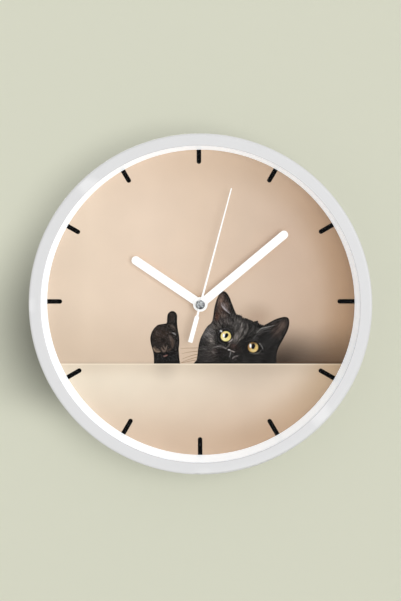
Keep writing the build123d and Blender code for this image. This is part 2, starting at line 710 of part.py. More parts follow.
MINUTE_TUBE_LOW_H = THIRD_H[1] + 0.25
COLLAR_H = (MINUTE_TUBE_LOW_H, MINUTE_TUBE_LOW_H + 0.3)
with BuildPart() as clutch_collar:
    add_rod(MAIN, *COLLAR_H, 2.3)
    add_rod(MAIN, *COLLAR_H, MINUTE_TUBE_R, mode=Mode.SUBTRACT)
finish(clutch_collar, "clutch_collar")

SPRING_H = (COLLAR_H[1], COLLAR_H[1] + 0.25)
with BuildPart() as clutch_spring:
    with BuildSketch(level(SPRING_H[0])):
        Circle(3.0)
        with PolarLocations(0, 3):
            with Locations((3.2, 0)):
                Rectangle(4.4, 1.6)
        Circle(MINUTE_TUBE_R + 0.05, mode=Mode.SUBTRACT)
    extrude(amount=SPRING_H[1] - SPRING_H[0])
    with BuildSketch(level(SPRING_H[1])):
        with PolarLocations(5.0, 3):
            Rectangle(0.8, 1.6)
    extrude(amount=CENTRE_H[0] - SPRING_H[1])
finish(clutch_spring, "clutch_spring")

# Minute tube with the cannon pinion; the minute hand is pressed on its tip.
reverse_turn = direction(REVERSE, MAIN)
cannon_turn = meshed_turn(REVERSE_TEETH, reverse_turn, direction(REVERSE, MAIN), CANNON_TEETH)
with BuildPart() as minute_tube:
    add_rod(MAIN, MINUTE_TUBE_LOW_H, MINUTE_HAND_H + 1.0, MINUTE_TUBE_R)
    add_gear(MAIN, *REVERSE_H, CANNON_TEETH, REVERSE_MODULE, PINION_ADDENDUM, cannon_turn)
    add_rod(MAIN, MINUTE_TUBE_LOW_H, MINUTE_HAND_H + 1.0, SECOND_ARBOR_R + 0.08, mode=Mode.SUBTRACT)
finish(minute_tube, "minute_tube")

# Reversing wheel: slows the minute tube's turn down for the hour wheel.
reverse_pinion_turn = direction(REVERSE, MAIN)
with BuildPart() as reversing_wheel:
    add_gear(REVERSE, *REVERSE_H, REVERSE_TEETH, REVERSE_MODULE, WHEEL_ADDENDUM, reverse_turn)
    add_gear(
        REVERSE, REVERSE_H[1], HOUR_H[1] + 0.1,
        REVERSE_PINION, HOUR_MODULE, PINION_ADDENDUM, reverse_pinion_turn,
    )
    add_rod(REVERSE, REVERSE_H[0], HOUR_H[1] + 0.1, REVERSE_POST_R + RUNNING_GAP, mode=Mode.SUBTRACT)
finish(reversing_wheel, "reversing_wheel")

# Hour wheel and its tube; the hour hand is pressed on its tip.
hour_turn = meshed_turn(REVERSE_PINION, reverse_pinion_turn, direction(REVERSE, MAIN), HOUR_TEETH)
with BuildPart() as hour_wheel:
    add_gear(MAIN, *HOUR_H, HOUR_TEETH, HOUR_MODULE, WHEEL_ADDENDUM, hour_turn)
    add_rod(MAIN, HOUR_H[0], HOUR_HAND_H + 1.0, HOUR_TUBE_R)
    add_rod(MAIN, HOUR_H[0], HOUR_HAND_H + 1.0, MINUTE_TUBE_R + 0.08, mode=Mode.SUBTRACT)
finish(hour_wheel, "hour_wheel")

# Setting knob: a ribbed thumb wheel outside the case, geared to the reversing wheel.
KNOB_R = 6.0
KNOB_H = (1.8, 4.6)
knob_turn = meshed_turn(REVERSE_TEETH, reverse_turn, direction(REVERSE, KNOB), KNOB_TEETH)
with BuildPart() as setting_knob:
    add_gear(KNOB, *REVERSE_H, KNOB_TEETH, KNOB_MODULE, WHEEL_ADDENDUM, knob_turn)
    add_rod(KNOB, KNOB_H[1], REVERSE_H[0], KNOB_SHAFT_R)
    add_rod(KNOB, REVERSE_H[1], FLOOR_H + 0.7, KNOB_PIN_R)
    with BuildSketch(level(KNOB_H[0])):
        with Locations(KNOB):
            Circle(KNOB_R - 0.4)
            with PolarLocations(KNOB_R - 0.4, 24):
                Circle(0.4)
    extrude(amount=KNOB_H[1] - KNOB_H[0])
finish(setting_knob, "setting_knob")


# ================================================================ the hands
EDGE_BREAK = 0.12


def add_hand(height, clock_angle, length, width, bore_r):
    """Adds a straight round-ended hand with a round hub and a collet behind it."""
    with BuildSketch(hand_level(height, clock_angle)) as outline:
        Circle(HUB_R)
        with Locations((0, (length - width / 2) / 2)):
            Rectangle(width, length - width / 2)
        with Locations((0, length - width / 2)):
            Circle(width / 2)
    extrude(outline.sketch, amount=HAND_T)
    chamfer(edges_at(height + HAND_T), EDGE_BREAK)
    add_rod(MAIN, height - 0.6, height, bore_r + 0.8)
    add_rod(MAIN, height - 0.6, height + HAND_T, bore_r, mode=Mode.SUBTRACT)


with BuildPart() as hour_hand:
    add_hand(HOUR_HAND_H, HOUR_ANGLE, HOUR_LENGTH, HOUR_WIDTH, HOUR_TUBE_R)
finish(hour_hand, "hour_hand")

with BuildPart() as minute_hand:
    add_hand(MINUTE_HAND_H, MINUTE_ANGLE, MINUTE_LENGTH, MINUTE_WIDTH, MINUTE_TUBE_R)
finish(minute_hand, "minute_hand")

# The second hand: a needle in front, a neck and a broad counterweight behind.
with BuildPart() as second_hand:
    with BuildSketch(hand_level(SECOND_HAND_H, SECOND_ANGLE)):
        with BuildLine():
            Polyline(
                (NEEDLE_ROOT, 0),
                (NEEDLE_TIP, SECOND_LENGTH),
                (-NEEDLE_TIP, SECOND_LENGTH),
                (-NEEDLE_ROOT, 0),
                (-NECK_HALF, -NECK_END),
                (-TAIL_HALF, -TAIL_START),
                (-TAIL_HALF, -SECOND_TAIL),
                (TAIL_HALF, -SECOND_TAIL),
                (TAIL_HALF, -TAIL_START),
                (NECK_HALF, -NECK_END),
                close=True,
            )
        make_face()
        Circle(2.0)
    extrude(amount=SECOND_T)
    add_rod(MAIN, MINUTE_HAND_H + 1.2, SECOND_HAND_H, 1.1)
    add_rod(MAIN, MINUTE_HAND_H + 1.2, SECOND_HAND_H + SECOND_T, SECOND_ARBOR_R, mode=Mode.SUBTRACT)
finish(second_hand, "second_hand")

# The steel cap riveted over the second hand's tube, with a dimple at its centre.
CAP_H = (SECOND_HAND_H + SECOND_T, SECOND_HAND_H + SECOND_T + CAP_T)
CAP_BORE_R = SECOND_ARBOR_R + 0.05
CAP_BORE_END_H = CAP_H[0] + 0.15
with BuildPart() as centre_cap:
    with BuildSketch(SECTION):
        with BuildLine():
            Polyline(
                (CAP_FLAT_R, CAP_H[1]),
                (CAP_DIMPLE_R, CAP_H[1]),
                (CAP_DIMPLE_R - 0.4, CAP_H[1] - CAP_DIMPLE_DEPTH),
                (0, CAP_H[1] - CAP_DIMPLE_DEPTH),
                (0, CAP_BORE_END_H),
                (CAP_BORE_R, CAP_BORE_END_H),
                (CAP_BORE_R, CAP_H[0]),
                (CAP_R, CAP_H[0]),
                (CAP_R, CAP_H[0] + CAP_RIM_T),
            )
            ThreePointArc(
                (CAP_R, CAP_H[0] + CAP_RIM_T),
                (CAP_R - 0.72, CAP_H[1] - 0.1),
                (CAP_FLAT_R, CAP_H[1]),
            )
        make_face()
    revolve(axis=Axis.Y)
finish(centre_cap, "centre_cap")


for piece in finished:
    export_step(piece, f"parts/{piece.label}.step")
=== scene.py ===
"""Looks for the round wall clock: printed dial, materials, wall, light and camera.

Lengths given as plain numbers are millimetres, but the stage's panels and the camera's places are in
metres.
"""

import math
import random

import bmesh
import bpy
import numpy as np
from mathutils import Matrix, Quaternion, Vector
from mathutils.geometry import delaunay_2d_cdt


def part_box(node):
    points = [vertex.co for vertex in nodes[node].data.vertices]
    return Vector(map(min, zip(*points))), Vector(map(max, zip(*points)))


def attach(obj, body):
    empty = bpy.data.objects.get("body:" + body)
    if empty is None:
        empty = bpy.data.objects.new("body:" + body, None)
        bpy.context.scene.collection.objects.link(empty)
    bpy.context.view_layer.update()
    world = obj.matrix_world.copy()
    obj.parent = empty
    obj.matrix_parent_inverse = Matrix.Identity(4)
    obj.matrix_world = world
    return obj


MM = 0.001
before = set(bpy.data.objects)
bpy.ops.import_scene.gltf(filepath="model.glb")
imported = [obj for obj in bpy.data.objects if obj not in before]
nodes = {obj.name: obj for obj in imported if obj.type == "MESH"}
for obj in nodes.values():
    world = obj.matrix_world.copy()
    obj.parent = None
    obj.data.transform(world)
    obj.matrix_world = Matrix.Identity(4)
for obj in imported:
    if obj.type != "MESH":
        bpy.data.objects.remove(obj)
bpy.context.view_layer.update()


def height_of(node, front=True):
    """How far a CAD node's front or rear stands out from the wall, in millimetres."""
    low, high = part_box(node)
    return -(low.y if front else high.y) / MM


DIAL_H = height_of("dial_paper")
VISIBLE_DIAL_R = 114.4

# How bright a white surface that faces the viewer is seen, and the share of that light on the dial.
LIGHT = 1.12
DIAL_LIGHT = 0.94

# The picture and the ticks are printed a little high and left of the dial's centre. The shapes below
# are drawn about the print's own centre, in millimetres before this shift and scale.
PRINT_SCALE = 1.01
PRINT_SHIFT = (-0.8, 1.5)
LEDGE = -46.3  # height of the ledge's top edge in the drawing


def on_dial(x, z):
    """Where a point of the printed drawing lies on the dial, in millimetres."""
    return (PRINT_SCALE * x + PRINT_SHIFT[0], PRINT_SCALE * z + PRINT_SHIFT[1])


# -------- colours
def linear(r, g, b, level=1.0):
    """A colour as seen on a screen, 0 to 255, as linear light divided by the light level."""
    out = []
    for c in (r, g, b):
        c /= 255
        out.append((c / 12.92 if c <= 0.04045 else ((c + 0.055) / 1.055) ** 2.4) / level)
    return (*out, 1.0)


def paint(r, g, b):
    """The colour a surface facing the viewer needs to be seen as r, g, b in this light."""
    return linear(r, g, b, LIGHT)


def dial_paint(r, g, b):
    """The same for the dial, which sits back in the case where a little less light falls."""
    return linear(r, g, b, LIGHT * DIAL_LIGHT)


# -------- shader building
FAR = 1e6  # a size that makes a pattern the same at every depth
INK_LAYER = "ink"


class Shader:
    """Builds one material's node tree. Object coordinates are used throughout."""

    def __init__(self, name):
        self.material = bpy.data.materials.new(name)
        self.material.use_nodes = True
        self.tree = self.material.node_tree
        self.tree.nodes.clear()
        self.where = self.node("ShaderNodeTexCoord").outputs["Object"]

    def node(self, kind, inputs=None, **settings):
        made = self.tree.nodes.new(kind)
        for key, value in settings.items():
            setattr(made, key, value)
        for key, value in (inputs or {}).items():
            self.put(made.inputs[key], value)
        return made

    def put(self, socket, value):
        if isinstance(value, bpy.types.NodeSocket):
            self.tree.links.new(value, socket)
        else:
            socket.default_value = value

    def math(self, operation, a, b=0.0, clamp=False):
        made = self.node("ShaderNodeMath", {0: a, 1: b}, operation=operation, use_clamp=clamp)
        return made.outputs[0]

    def mix(self, factor, a, b, blend="MIX"):
        made = self.node("ShaderNodeMix", {0: factor, 6: a, 7: b}, data_type="RGBA", blend_type=blend)
        return made.outputs[2]

    def vector(self, operation, a, b=(0, 0, 0)):
        """Vector arithmetic. LENGTH and DOT_PRODUCT give a plain number."""
        made = self.node("ShaderNodeVectorMath", {0: a, 1: b}, operation=operation)
        return made.outputs["Value" if operation in ("LENGTH", "DOT_PRODUCT") else "Vector"]

    def tint(self, base, mask, amount, colour):
        """The base colour, moved by that amount towards another where the mask is 1."""
        return self.mix(self.math("MULTIPLY", mask, amount), base, colour)

    def axis(self, name):
        """One object coordinate, in millimetres."""
        split = self.node("ShaderNodeSeparateXYZ", {0: self.where})
        return self.math("MULTIPLY", split.outputs[name], 1 / MM)

    def smooth(self, value, low, high, to_low=0.0, to_high=1.0):
        """An eased step from to_low to to_high as the value goes from low to high."""
        made = self.node(
            "ShaderNodeMapRange",
            {0: value, 1: low, 2: high, 3: to_low, 4: to_high},
            interpolation_type="SMOOTHSTEP",
        )
        return made.outputs[0]

    def ramp(self, value, stops):
        made = self.node("ShaderNodeValToRGB", {0: value})
        elements = made.color_ramp.elements
        while len(elements) < len(stops):
            elements.new(0.5)
        for element, (place, colour) in zip(elements, stops):
            element.position = place
            element.color = colour
        return made.outputs[0]

    def noise(self, size, detail=3.0, rough=0.5, stretch=(1, 1, 1)):
        """Fractal noise, 0 to 1, whose features are about size millimetres across."""
        place = self.vector("MULTIPLY", self.where, [s / (size * MM) for s in stretch])
        return self.noise_at(place, detail, rough)

    def noise_at(self, place, detail, rough):
        """Fractal noise, 0 to 1, whose features are about one unit of place across."""
        inputs = {"Vector": place, "Scale": 1.0, "Detail": detail, "Roughness": rough}
        return self.node("ShaderNodeTexNoise", inputs).outputs[0]

    def glow(self, centre, radii, turn=0.0):
        """1 at a point (x, z) of the dial, falling smoothly to 0 at an ellipse round it."""
        place = self.node(
            "ShaderNodeMapping",
            {
                "Vector": self.where,
                "Location": (centre[0] * MM, 0, centre[1] * MM),
                "Rotation": (0, math.radians(turn), 0),
                "Scale": (radii[0] * MM, FAR, radii[1] * MM),
            },
            vector_type="TEXTURE",
        )
        return self.smooth(self.vector("LENGTH", place.outputs[0]), 0.0, 1.0, 1.0, 0.0)

    def bump(self, height, depth, strength):
        """A surface normal from a height that stands depth millimetres proud."""
        inputs = {"Height": height, "Distance": depth * MM, "Strength": strength}
        return self.node("ShaderNodeBump", inputs).outputs[0]

    def ink(self):
        """The colour kept in a printed slab's own points."""
        return self.node("ShaderNodeAttribute", attribute_name=INK_LAYER).outputs["Color"]

    def surface(self, **inputs):
        """Finishes with a Principled surface and returns the material."""
        named = {key.replace("_", " "): value for key, value in inputs.items()}
        return self.output(self.node("ShaderNodeBsdfPrincipled", named))

    def output_mix(self, factor, first, second):
        """Finishes with two shaders, from the first at factor 0 to the second at factor 1."""
        inputs = {0: factor, 1: first.outputs[0], 2: second.outputs[0]}
        return self.output(self.node("ShaderNodeMixShader", inputs))

    def output(self, shader):
        self.node("ShaderNodeOutputMaterial", {"Surface": shader.outputs[0]})
        return self.material


def plastic(name, colour, rough, grain, grain_depth, mottle=0.03, edge_wear_and_highlight=0.08, glow=0.0, shine=0.5):
    """Moulded plastic: fine grain, faint flow marks, edges lighter from wear and a painted highlight.

    glow is painted light that the surface gives off in its own colour though it is no lamp, and
    shine is how strongly the surface mirrors.
    """
    s = Shader(name)
    flow = s.noise(38.0, 4.0, 0.55, (1, 1, 0.4))
    fine = s.noise(grain, 2.0)
    tone = s.smooth(flow, 0.3, 0.7, 1.0 - mottle, 1.0)
    # edges lightened towards white: partly rubbed wear, partly a painted highlight
    edge = s.node("ShaderNodeNewGeometry").outputs["Pointiness"]
    edge = s.smooth(edge, 0.52, 0.60, 0.0, edge_wear_and_highlight)
    base = s.mix(1.0, colour, tone, "MULTIPLY")
    base = s.mix(edge, base, (1, 1, 1, 1))
    roughness = s.smooth(s.noise(6.0, 3.0), 0.3, 0.7, rough - 0.06, rough + 0.06)
    normal = s.bump(fine, grain_depth, 0.6)
    return s.surface(
        Base_Color=base,
        Roughness=roughness,
        Normal=normal,
        IOR=1.46,
        Specular_IOR_Level=shine,
        # the emission is painted glow: light the part gives off though it is no lamp
        Emission_Color=base,
        Emission_Strength=glow,
    )


def metal(name, colour, rough, brush, size):
    """Metal with faint tarnish and fine lines, which are packed closest along brush's largest axis."""
    s = Shader(name)
    lines = s.noise(size, 4.0, 0.6, brush)
    cloud = s.noise(5.0, 4.0)
    dull = s.smooth(cloud, 0.35, 0.75, 0.0, 0.12)
    base = s.mix(dull, colour, (0.10, 0.09, 0.08, 1))
    roughness = s.smooth(lines, 0.3, 0.7, rough - 0.1, rough + 0.12)
    normal = s.bump(lines, 0.004, 0.7)
    return s.surface(Base_Color=base, Metallic=1.0, Roughness=roughness, Normal=normal)


# -------- materials of the CAD nodes
def dial_paper_material():
    """The print's background: a warm wall above a pale ledge, darker at the right, and the rim's painted
    shadow.
    """
    s = Shader("dial_print_background")
    x = s.math("DIVIDE", s.math("SUBTRACT", s.axis("X"), PRINT_SHIFT[0]), PRINT_SCALE)
    z = s.math("DIVIDE", s.math("SUBTRACT", s.axis("Z"), PRINT_SHIFT[1]), PRINT_SCALE)
    across = s.math("DIVIDE", s.math("ADD", x, 120.0), 240.0, True)

    wall_tones = (
        (0.06, (225, 203, 182)), (0.16, (235, 213, 192)), (0.34, (236, 213, 193)), (0.50, (229, 205, 184)),
        (0.64, (220, 196, 176)), (0.77, (212, 186, 166)), (0.90, (203, 174, 151)),
    )
    wall = s.ramp(across, [(place, dial_paint(*tone)) for place, tone in wall_tones])
    # darker towards the top of the dial
    wall = s.mix(s.smooth(z, 56.0, 112.0, 0.0, 0.3), wall, dial_paint(208, 178, 150))
    wall = s.tint(wall, s.smooth(z, -46.0, 6.0, 1.0, 0.0), 0.34, dial_paint(178, 152, 126))
    cat_shadows = (
        ((88, -52), (70, 42), 0, 0.84, (72, 53, 41)),
        ((60, -48), (38, 36), 0, 0.95, (50, 38, 30)),
        ((34, -18), (40, 26), 23, 0.2, (160, 132, 108)),
        ((43, -12), (18, 16), 0, 0.36, (150, 120, 98)),
    )
    for centre, radii, turn, amount, colour in cat_shadows:
        wall = s.tint(wall, s.glow(on_dial(*centre), radii, turn), amount, dial_paint(*colour))
    seam = s.smooth(z, LEDGE, LEDGE + 2.5, 1.0, 0.0)
    wall = s.tint(wall, seam, s.smooth(x, 30.0, 70.0, 0.1, 0.6), dial_paint(84, 62, 48))

    ledge_tones = (
        (0.10, (237, 222, 202)), (0.28, (241, 226, 207)), (0.50, (235, 218, 199)), (0.64, (227, 208, 189)),
        (0.78, (228, 207, 187)), (0.90, (224, 202, 180)),
    )
    ledge = s.ramp(across, [(place, dial_paint(*tone)) for place, tone in ledge_tones])
    ledge = s.tint(ledge, s.smooth(z, -106.0, -54.0, 1.0, 0.0), 0.58, dial_paint(205, 171, 145))
    ledge = s.tint(ledge, s.smooth(z, -60.0, -47.0), 0.30, dial_paint(202, 180, 156))
    reflections = (((-25.5, -47), (15, 18), 0.3), ((40, -47), (66, 26), 0.26))
    for centre, radii, amount in reflections:
        ledge = s.tint(ledge, s.glow(on_dial(*centre), radii), amount, dial_paint(150, 136, 124))
    ledge = s.tint(ledge, s.smooth(z, -47.6, -47.0), 0.6, dial_paint(248, 233, 212))
    colour = s.mix(s.math("LESS_THAN", z, LEDGE), wall, ledge)

    mottle = s.noise(24.0, 4.0, 0.55)
    colour = s.mix(1.0, colour, s.smooth(mottle, 0.25, 0.75, 0.975, 1.02), "MULTIPLY")
    # painted shadow of the case's rim: the print is darkened and warmed towards three o'clock
    edge = rim_shadow(s)
    colour = s.mix(edge, colour, s.mix(1.0, colour, (0.72, 0.645, 0.55, 1), "MULTIPLY"))
    fibre = s.noise(0.35, 2.0)
    normal = s.bump(fibre, 0.01, 0.5)
    return s.surface(Base_Color=colour, Roughness=0.62, Normal=normal, Specular_IOR_Level=0.1)


def rim_shadow(s):
    """How far the rim's painted shadow darkens the print towards its rim: most at three o'clock, nothing at
    nine.
    """
    side = s.vector("DOT_PRODUCT", s.where, (0.985, 0, -0.17))
    radius = s.vector("LENGTH", s.vector("MULTIPLY", s.where, (1, 0, 1)))
    facing = s.math("DIVIDE", side, radius)
    facing = s.math("MULTIPLY", s.math("ADD", facing, 1.0), 0.5, True)
    inward = s.smooth(radius, 84.0 * MM, 110.0 * MM)
    return s.math("MULTIPLY", s.math("POWER", facing, 2.0), inward)


def lens_material():
    """Clear window: nearly all light passes head on, and it mirrors at a slant."""
    s = Shader("lens_clear")
    clear = s.node("ShaderNodeBsdfTransparent", {"Color": (0.985, 0.99, 0.988, 1)})
    smear = s.noise(30.0, 4.0, 0.6)
    gloss = s.node(
        "ShaderNodeBsdfGlossy",
        {"Color": (1, 1, 1, 1), "Roughness": s.smooth(smear, 0.3, 0.8, 0.03, 0.12)},
    )
    slant = s.node("ShaderNodeLayerWeight", {"Blend": 0.5}).outputs["Facing"]
    factor = s.math("ADD", s.math("POWER", slant, 3.5), 0.002, True)
    return s.output_mix(factor, clear, gloss)


def cap_material():
    """Dull steel cap with wandering scratches, and painted shade in dark patches at its bottom and right."""
    s = Shader("cap_scratched_steel")
    scratch = s.noise(0.5, 5.0, 0.7, (1, 1, 3.5))
    cloud = s.noise(1.6, 4.0, 0.65)
    base = s.ramp(
        cloud,
        [(0.32, (0.07, 0.07, 0.08, 1)), (0.48, (0.34, 0.35, 0.36, 1)), (0.64, (0.66, 0.67, 0.68, 1))],
    )
    # painted shade: dark patches at the bottom and right of the cap
    painted_shade_spots = (((0.3, -2.5), (2.4, 1.9), 0.95), ((2.9, 0.3), (1.3, 2.4), 0.7))
    for centre, radii, amount in painted_shade_spots:
        base = s.tint(base, s.glow(centre, radii), amount, (0.02, 0.02, 0.025, 1))
    roughness = s.smooth(scratch, 0.3, 0.7, 0.28, 0.6)
    normal = s.bump(scratch, 0.05, 0.8)
    return s.surface(Base_Color=base, Metallic=0.75, Roughness=roughness, Normal=normal)


def battery_material():
    """A plain cell: dark jacket with a metallic band at the positive end and a seam."""
    s = Shader("cell_jacket")
    x = s.axis("X")
    jacket = s.mix(s.smooth(x, 10.0, 10.2), linear(24, 42, 52), linear(176, 112, 58))
    ends = s.math("ADD", s.smooth(x, 23.6, 23.8), s.smooth(x, -24.3, -24.5), True)
    colour = s.mix(ends, jacket, (0.72, 0.72, 0.73, 1))
    scuff = s.noise(1.2, 5.0, 0.7, (0.3, 1, 1))
    colour = s.mix(s.smooth(scuff, 0.62, 0.8, 0.0, 0.35), colour, (0.5, 0.5, 0.5, 1))
    return s.surface(
        Base_Color=colour,
        Metallic=s.smooth(ends, 0.0, 1.0, 0.35, 1.0),
        Roughness=s.smooth(scuff, 0.3, 0.7, 0.24, 0.42),
        Normal=s.bump(scuff, 0.006, 0.5),
    )


def winding_material():
    """Enamelled copper wire laid in even turns."""
    s = Shader("copper_winding")
    turns = s.math("SINE", s.math("MULTIPLY", s.axis("X"), 2 * math.pi / 0.3))
    base = s.mix(s.smooth(turns, -1.0, 1.0), linear(120, 58, 28), linear(214, 126, 72))
    return s.surface(Base_Color=base, Metallic=0.9, Roughness=0.3, Normal=s.bump(turns, 0.05, 0.6))


def board_material():
    """Fibre board: brown with flecks, fuzzy at its cut edge."""
    s = Shader("fibre_board")
    fleck = s.noise(1.1, 5.0, 0.75, (1, 2.5, 1))
    base = s.mix(s.smooth(fleck, 0.3, 0.75), linear(142, 116, 84), linear(190, 166, 130))
    return s.surface(Base_Color=base, Roughness=0.85, Normal=s.bump(fleck, 0.05, 0.7))


# The CAD nodes in plain plastic: node, material name, colour as seen, then plastic's other values in
# their order: roughness, grain size, grain depth, mottle, edge wear and highlight, painted glow and shine.
WHEEL = (0.35, 0.3, 0.006)
AMBER_WHEEL = (*WHEEL, 0.08)
NYLON = (0.4, 0.3, 0.01)
plastics = (
    ("back_cover", "cover_grey", (205, 204, 198), 0.5, 0.7, 0.03, 0.06, 0.12),
    ("movement_base", "movement_black", (34, 34, 36), 0.45, 0.5, 0.02, 0.2, 0.06, 0.0, 0.2),
    ("movement_cover", "movement_rear", (30, 30, 32), 0.5, 0.45, 0.05, 0.3, 0.05, 0.0, 0.2),
    ("train_plate", "natural_acetal", (226, 222, 208), 0.4, 0.4, 0.01),
    ("rubber_washer", "rubber_black", (24, 24, 24), 0.75, 0.3, 0.03, 0.2, 0.02),
    ("coil_bobbin", "bobbin_nylon", (222, 218, 202), *NYLON),
    ("circuit_board", "circuit_green", (36, 92, 56), 0.3, 0.5, 0.02, 0.25, 0.1),
    ("clock_chip", "epoxy_blob", (18, 18, 18), 0.2, 0.8, 0.01, 0.1, 0.0),
    ("rotor_pinion", "pinion_white", (230, 228, 218), 0.35, 0.2, 0.005),
    ("drive_wheel", "wheel_amber", (206, 160, 92), *AMBER_WHEEL),
    ("second_wheel", "wheel_white", (228, 226, 216), *WHEEL),
    ("third_wheel", "wheel_amber_fine", (202, 152, 84), *AMBER_WHEEL),
    ("centre_wheel", "wheel_cream", (224, 220, 206), *WHEEL),
    ("reversing_wheel", "wheel_grey", (206, 206, 200), *WHEEL),
    ("hour_wheel", "wheel_hour", (210, 168, 104), *AMBER_WHEEL),
    ("setting_knob", "knob_white", (214, 213, 205), 0.4, 0.35, 0.02, 0.05, 0.2),
)

# The CAD nodes in metal: node, material name, colour, roughness, direction and size of its fine lines.
BRASS, BRIGHT_BRASS = (0.78, 0.57, 0.25, 1), (0.80, 0.60, 0.28, 1)
NICKEL = (0.72, 0.71, 0.68, 1)
metals = (
    ("cover_screws", "zinc_screws", (0.62, 0.61, 0.58, 1), 0.3, (1, 1, 1), 0.5),
    ("brass_washer", "brass_flat", BRASS, 0.28, (1, 1, 4), 0.6),
    ("hex_nut", "brass_nut", BRIGHT_BRASS, 0.25, (1, 1, 3), 0.6),
    ("contact_positive", "contact_nickel", NICKEL, 0.22, (1, 1, 5), 0.4),
    ("contact_negative", "contact_spring", NICKEL, 0.25, (4, 1, 1), 0.4),
    ("coil_core", "soft_iron", (0.40, 0.40, 0.42, 1), 0.4, (1, 1, 6), 0.4),
    ("stator_plate", "stator_iron", (0.44, 0.44, 0.46, 1), 0.38, (6, 1, 1), 0.4),
    ("quartz_crystal", "crystal_can", (0.75, 0.75, 0.77, 1), 0.18, (1, 1, 0.3), 0.3),
    ("rotor_magnet", "rotor_magnet", (0.20, 0.20, 0.22, 1), 0.45, (1, 1, 1), 0.3),
    ("second_arbor", "arbor_steel", (0.62, 0.62, 0.63, 1), 0.2, (1, 5, 1), 0.3),
    ("clutch_spring", "spring_bronze", (0.66, 0.48, 0.26, 1), 0.25, (3, 1, 1), 0.3),
    ("clutch_collar", "collar_brass", BRASS, 0.25, (1, 1, 3), 0.3),
    ("minute_tube", "tube_brass", BRIGHT_BRASS, 0.22, (1, 6, 1), 0.3),
)

materials = {
    # case ring: its edge lightening of 0.25 is a painted highlight along its rounded edges
    "case_ring": plastic("case_white", paint(225, 225, 226), 0.34, 0.45, 0.004, 0.015, 0.25),
    # spacer: glow 0.35 is painted light, its own bluish white shining evenly all round where the lip shades
    # it
    "spacer_ring": plastic("spacer_white", (0.88, 0.92, 0.97, 1), 0.4, 0.5, 0.003, 0.01, 0.1, 0.35),
    "lens": lens_material(),
    "dial_paper": dial_paper_material(),
    "dial_board": board_material(),
    "battery": battery_material(),
    "coil_winding": winding_material(),
    "centre_cap": cap_material(),
}
for hand in ("hour", "minute", "second"):
    # the hands' glow of 0.12 is painted light in their own white, though they are no lamp
    enamel = plastic(f"hand_enamel_{hand}", (0.96, 0.96, 0.965, 1), 0.35, 0.8, 0.002, 0.004, 0.0, 0.12)
    materials[f"{hand}_hand"] = enamel
for node, name, seen, *values in plastics:
    materials[node] = plastic(name, linear(*seen), *values)
for node, *values in metals:
    materials[node] = metal(*values)
for node, material in materials.items():
    mesh = nodes[node].data
    mesh.materials.clear()
    mesh.materials.append(material)


# -------- printed shapes
def spline(points, step):
    """Points about every step millimetres along a smooth curve through the given points."""
    last = len(points) - 1
    out = []
    for i in range(last):
        a, b, c, d = (Vector(points[min(max(i + k, 0), last)]) for k in (-1, 0, 1, 2))
        steps = max(2, int((c - b).length / step))
        for t in (j / steps for j in range(steps)):
            bend = (2 * a - 5 * b + 4 * c - d) * t * t
            twist = (3 * b - a - 3 * c + d) * t**3
            out.append((2 * b + (c - a) * t + bend + twist) / 2)
    out.append(Vector(points[-1]))
    return out


def inside(points, loop):
    """Which of the points lie inside a closed loop."""
    x, z = points[:, 0], points[:, 1]
    hit = np.zeros(len(points), bool)
    for (x0, z0), (x1, z1) in zip(loop, loop[1:] + loop[:1]):
        if z0 == z1:
            continue
        hit ^= ((z0 > z) != (z1 > z)) & (x < (x1 - x0) * (z - z0) / (z1 - z0) + x0)
    return hit


INK_T, THIN_INK_T = 0.05, 0.03
ROW_PITCH = 0.87  # rows of a triangular grid, as a share of its spacing
EDGE_CLEARANCE = 0.45  # grid points nearer the outline than this share of the spacing are dropped
BLOB_FALLOFF = 1.6


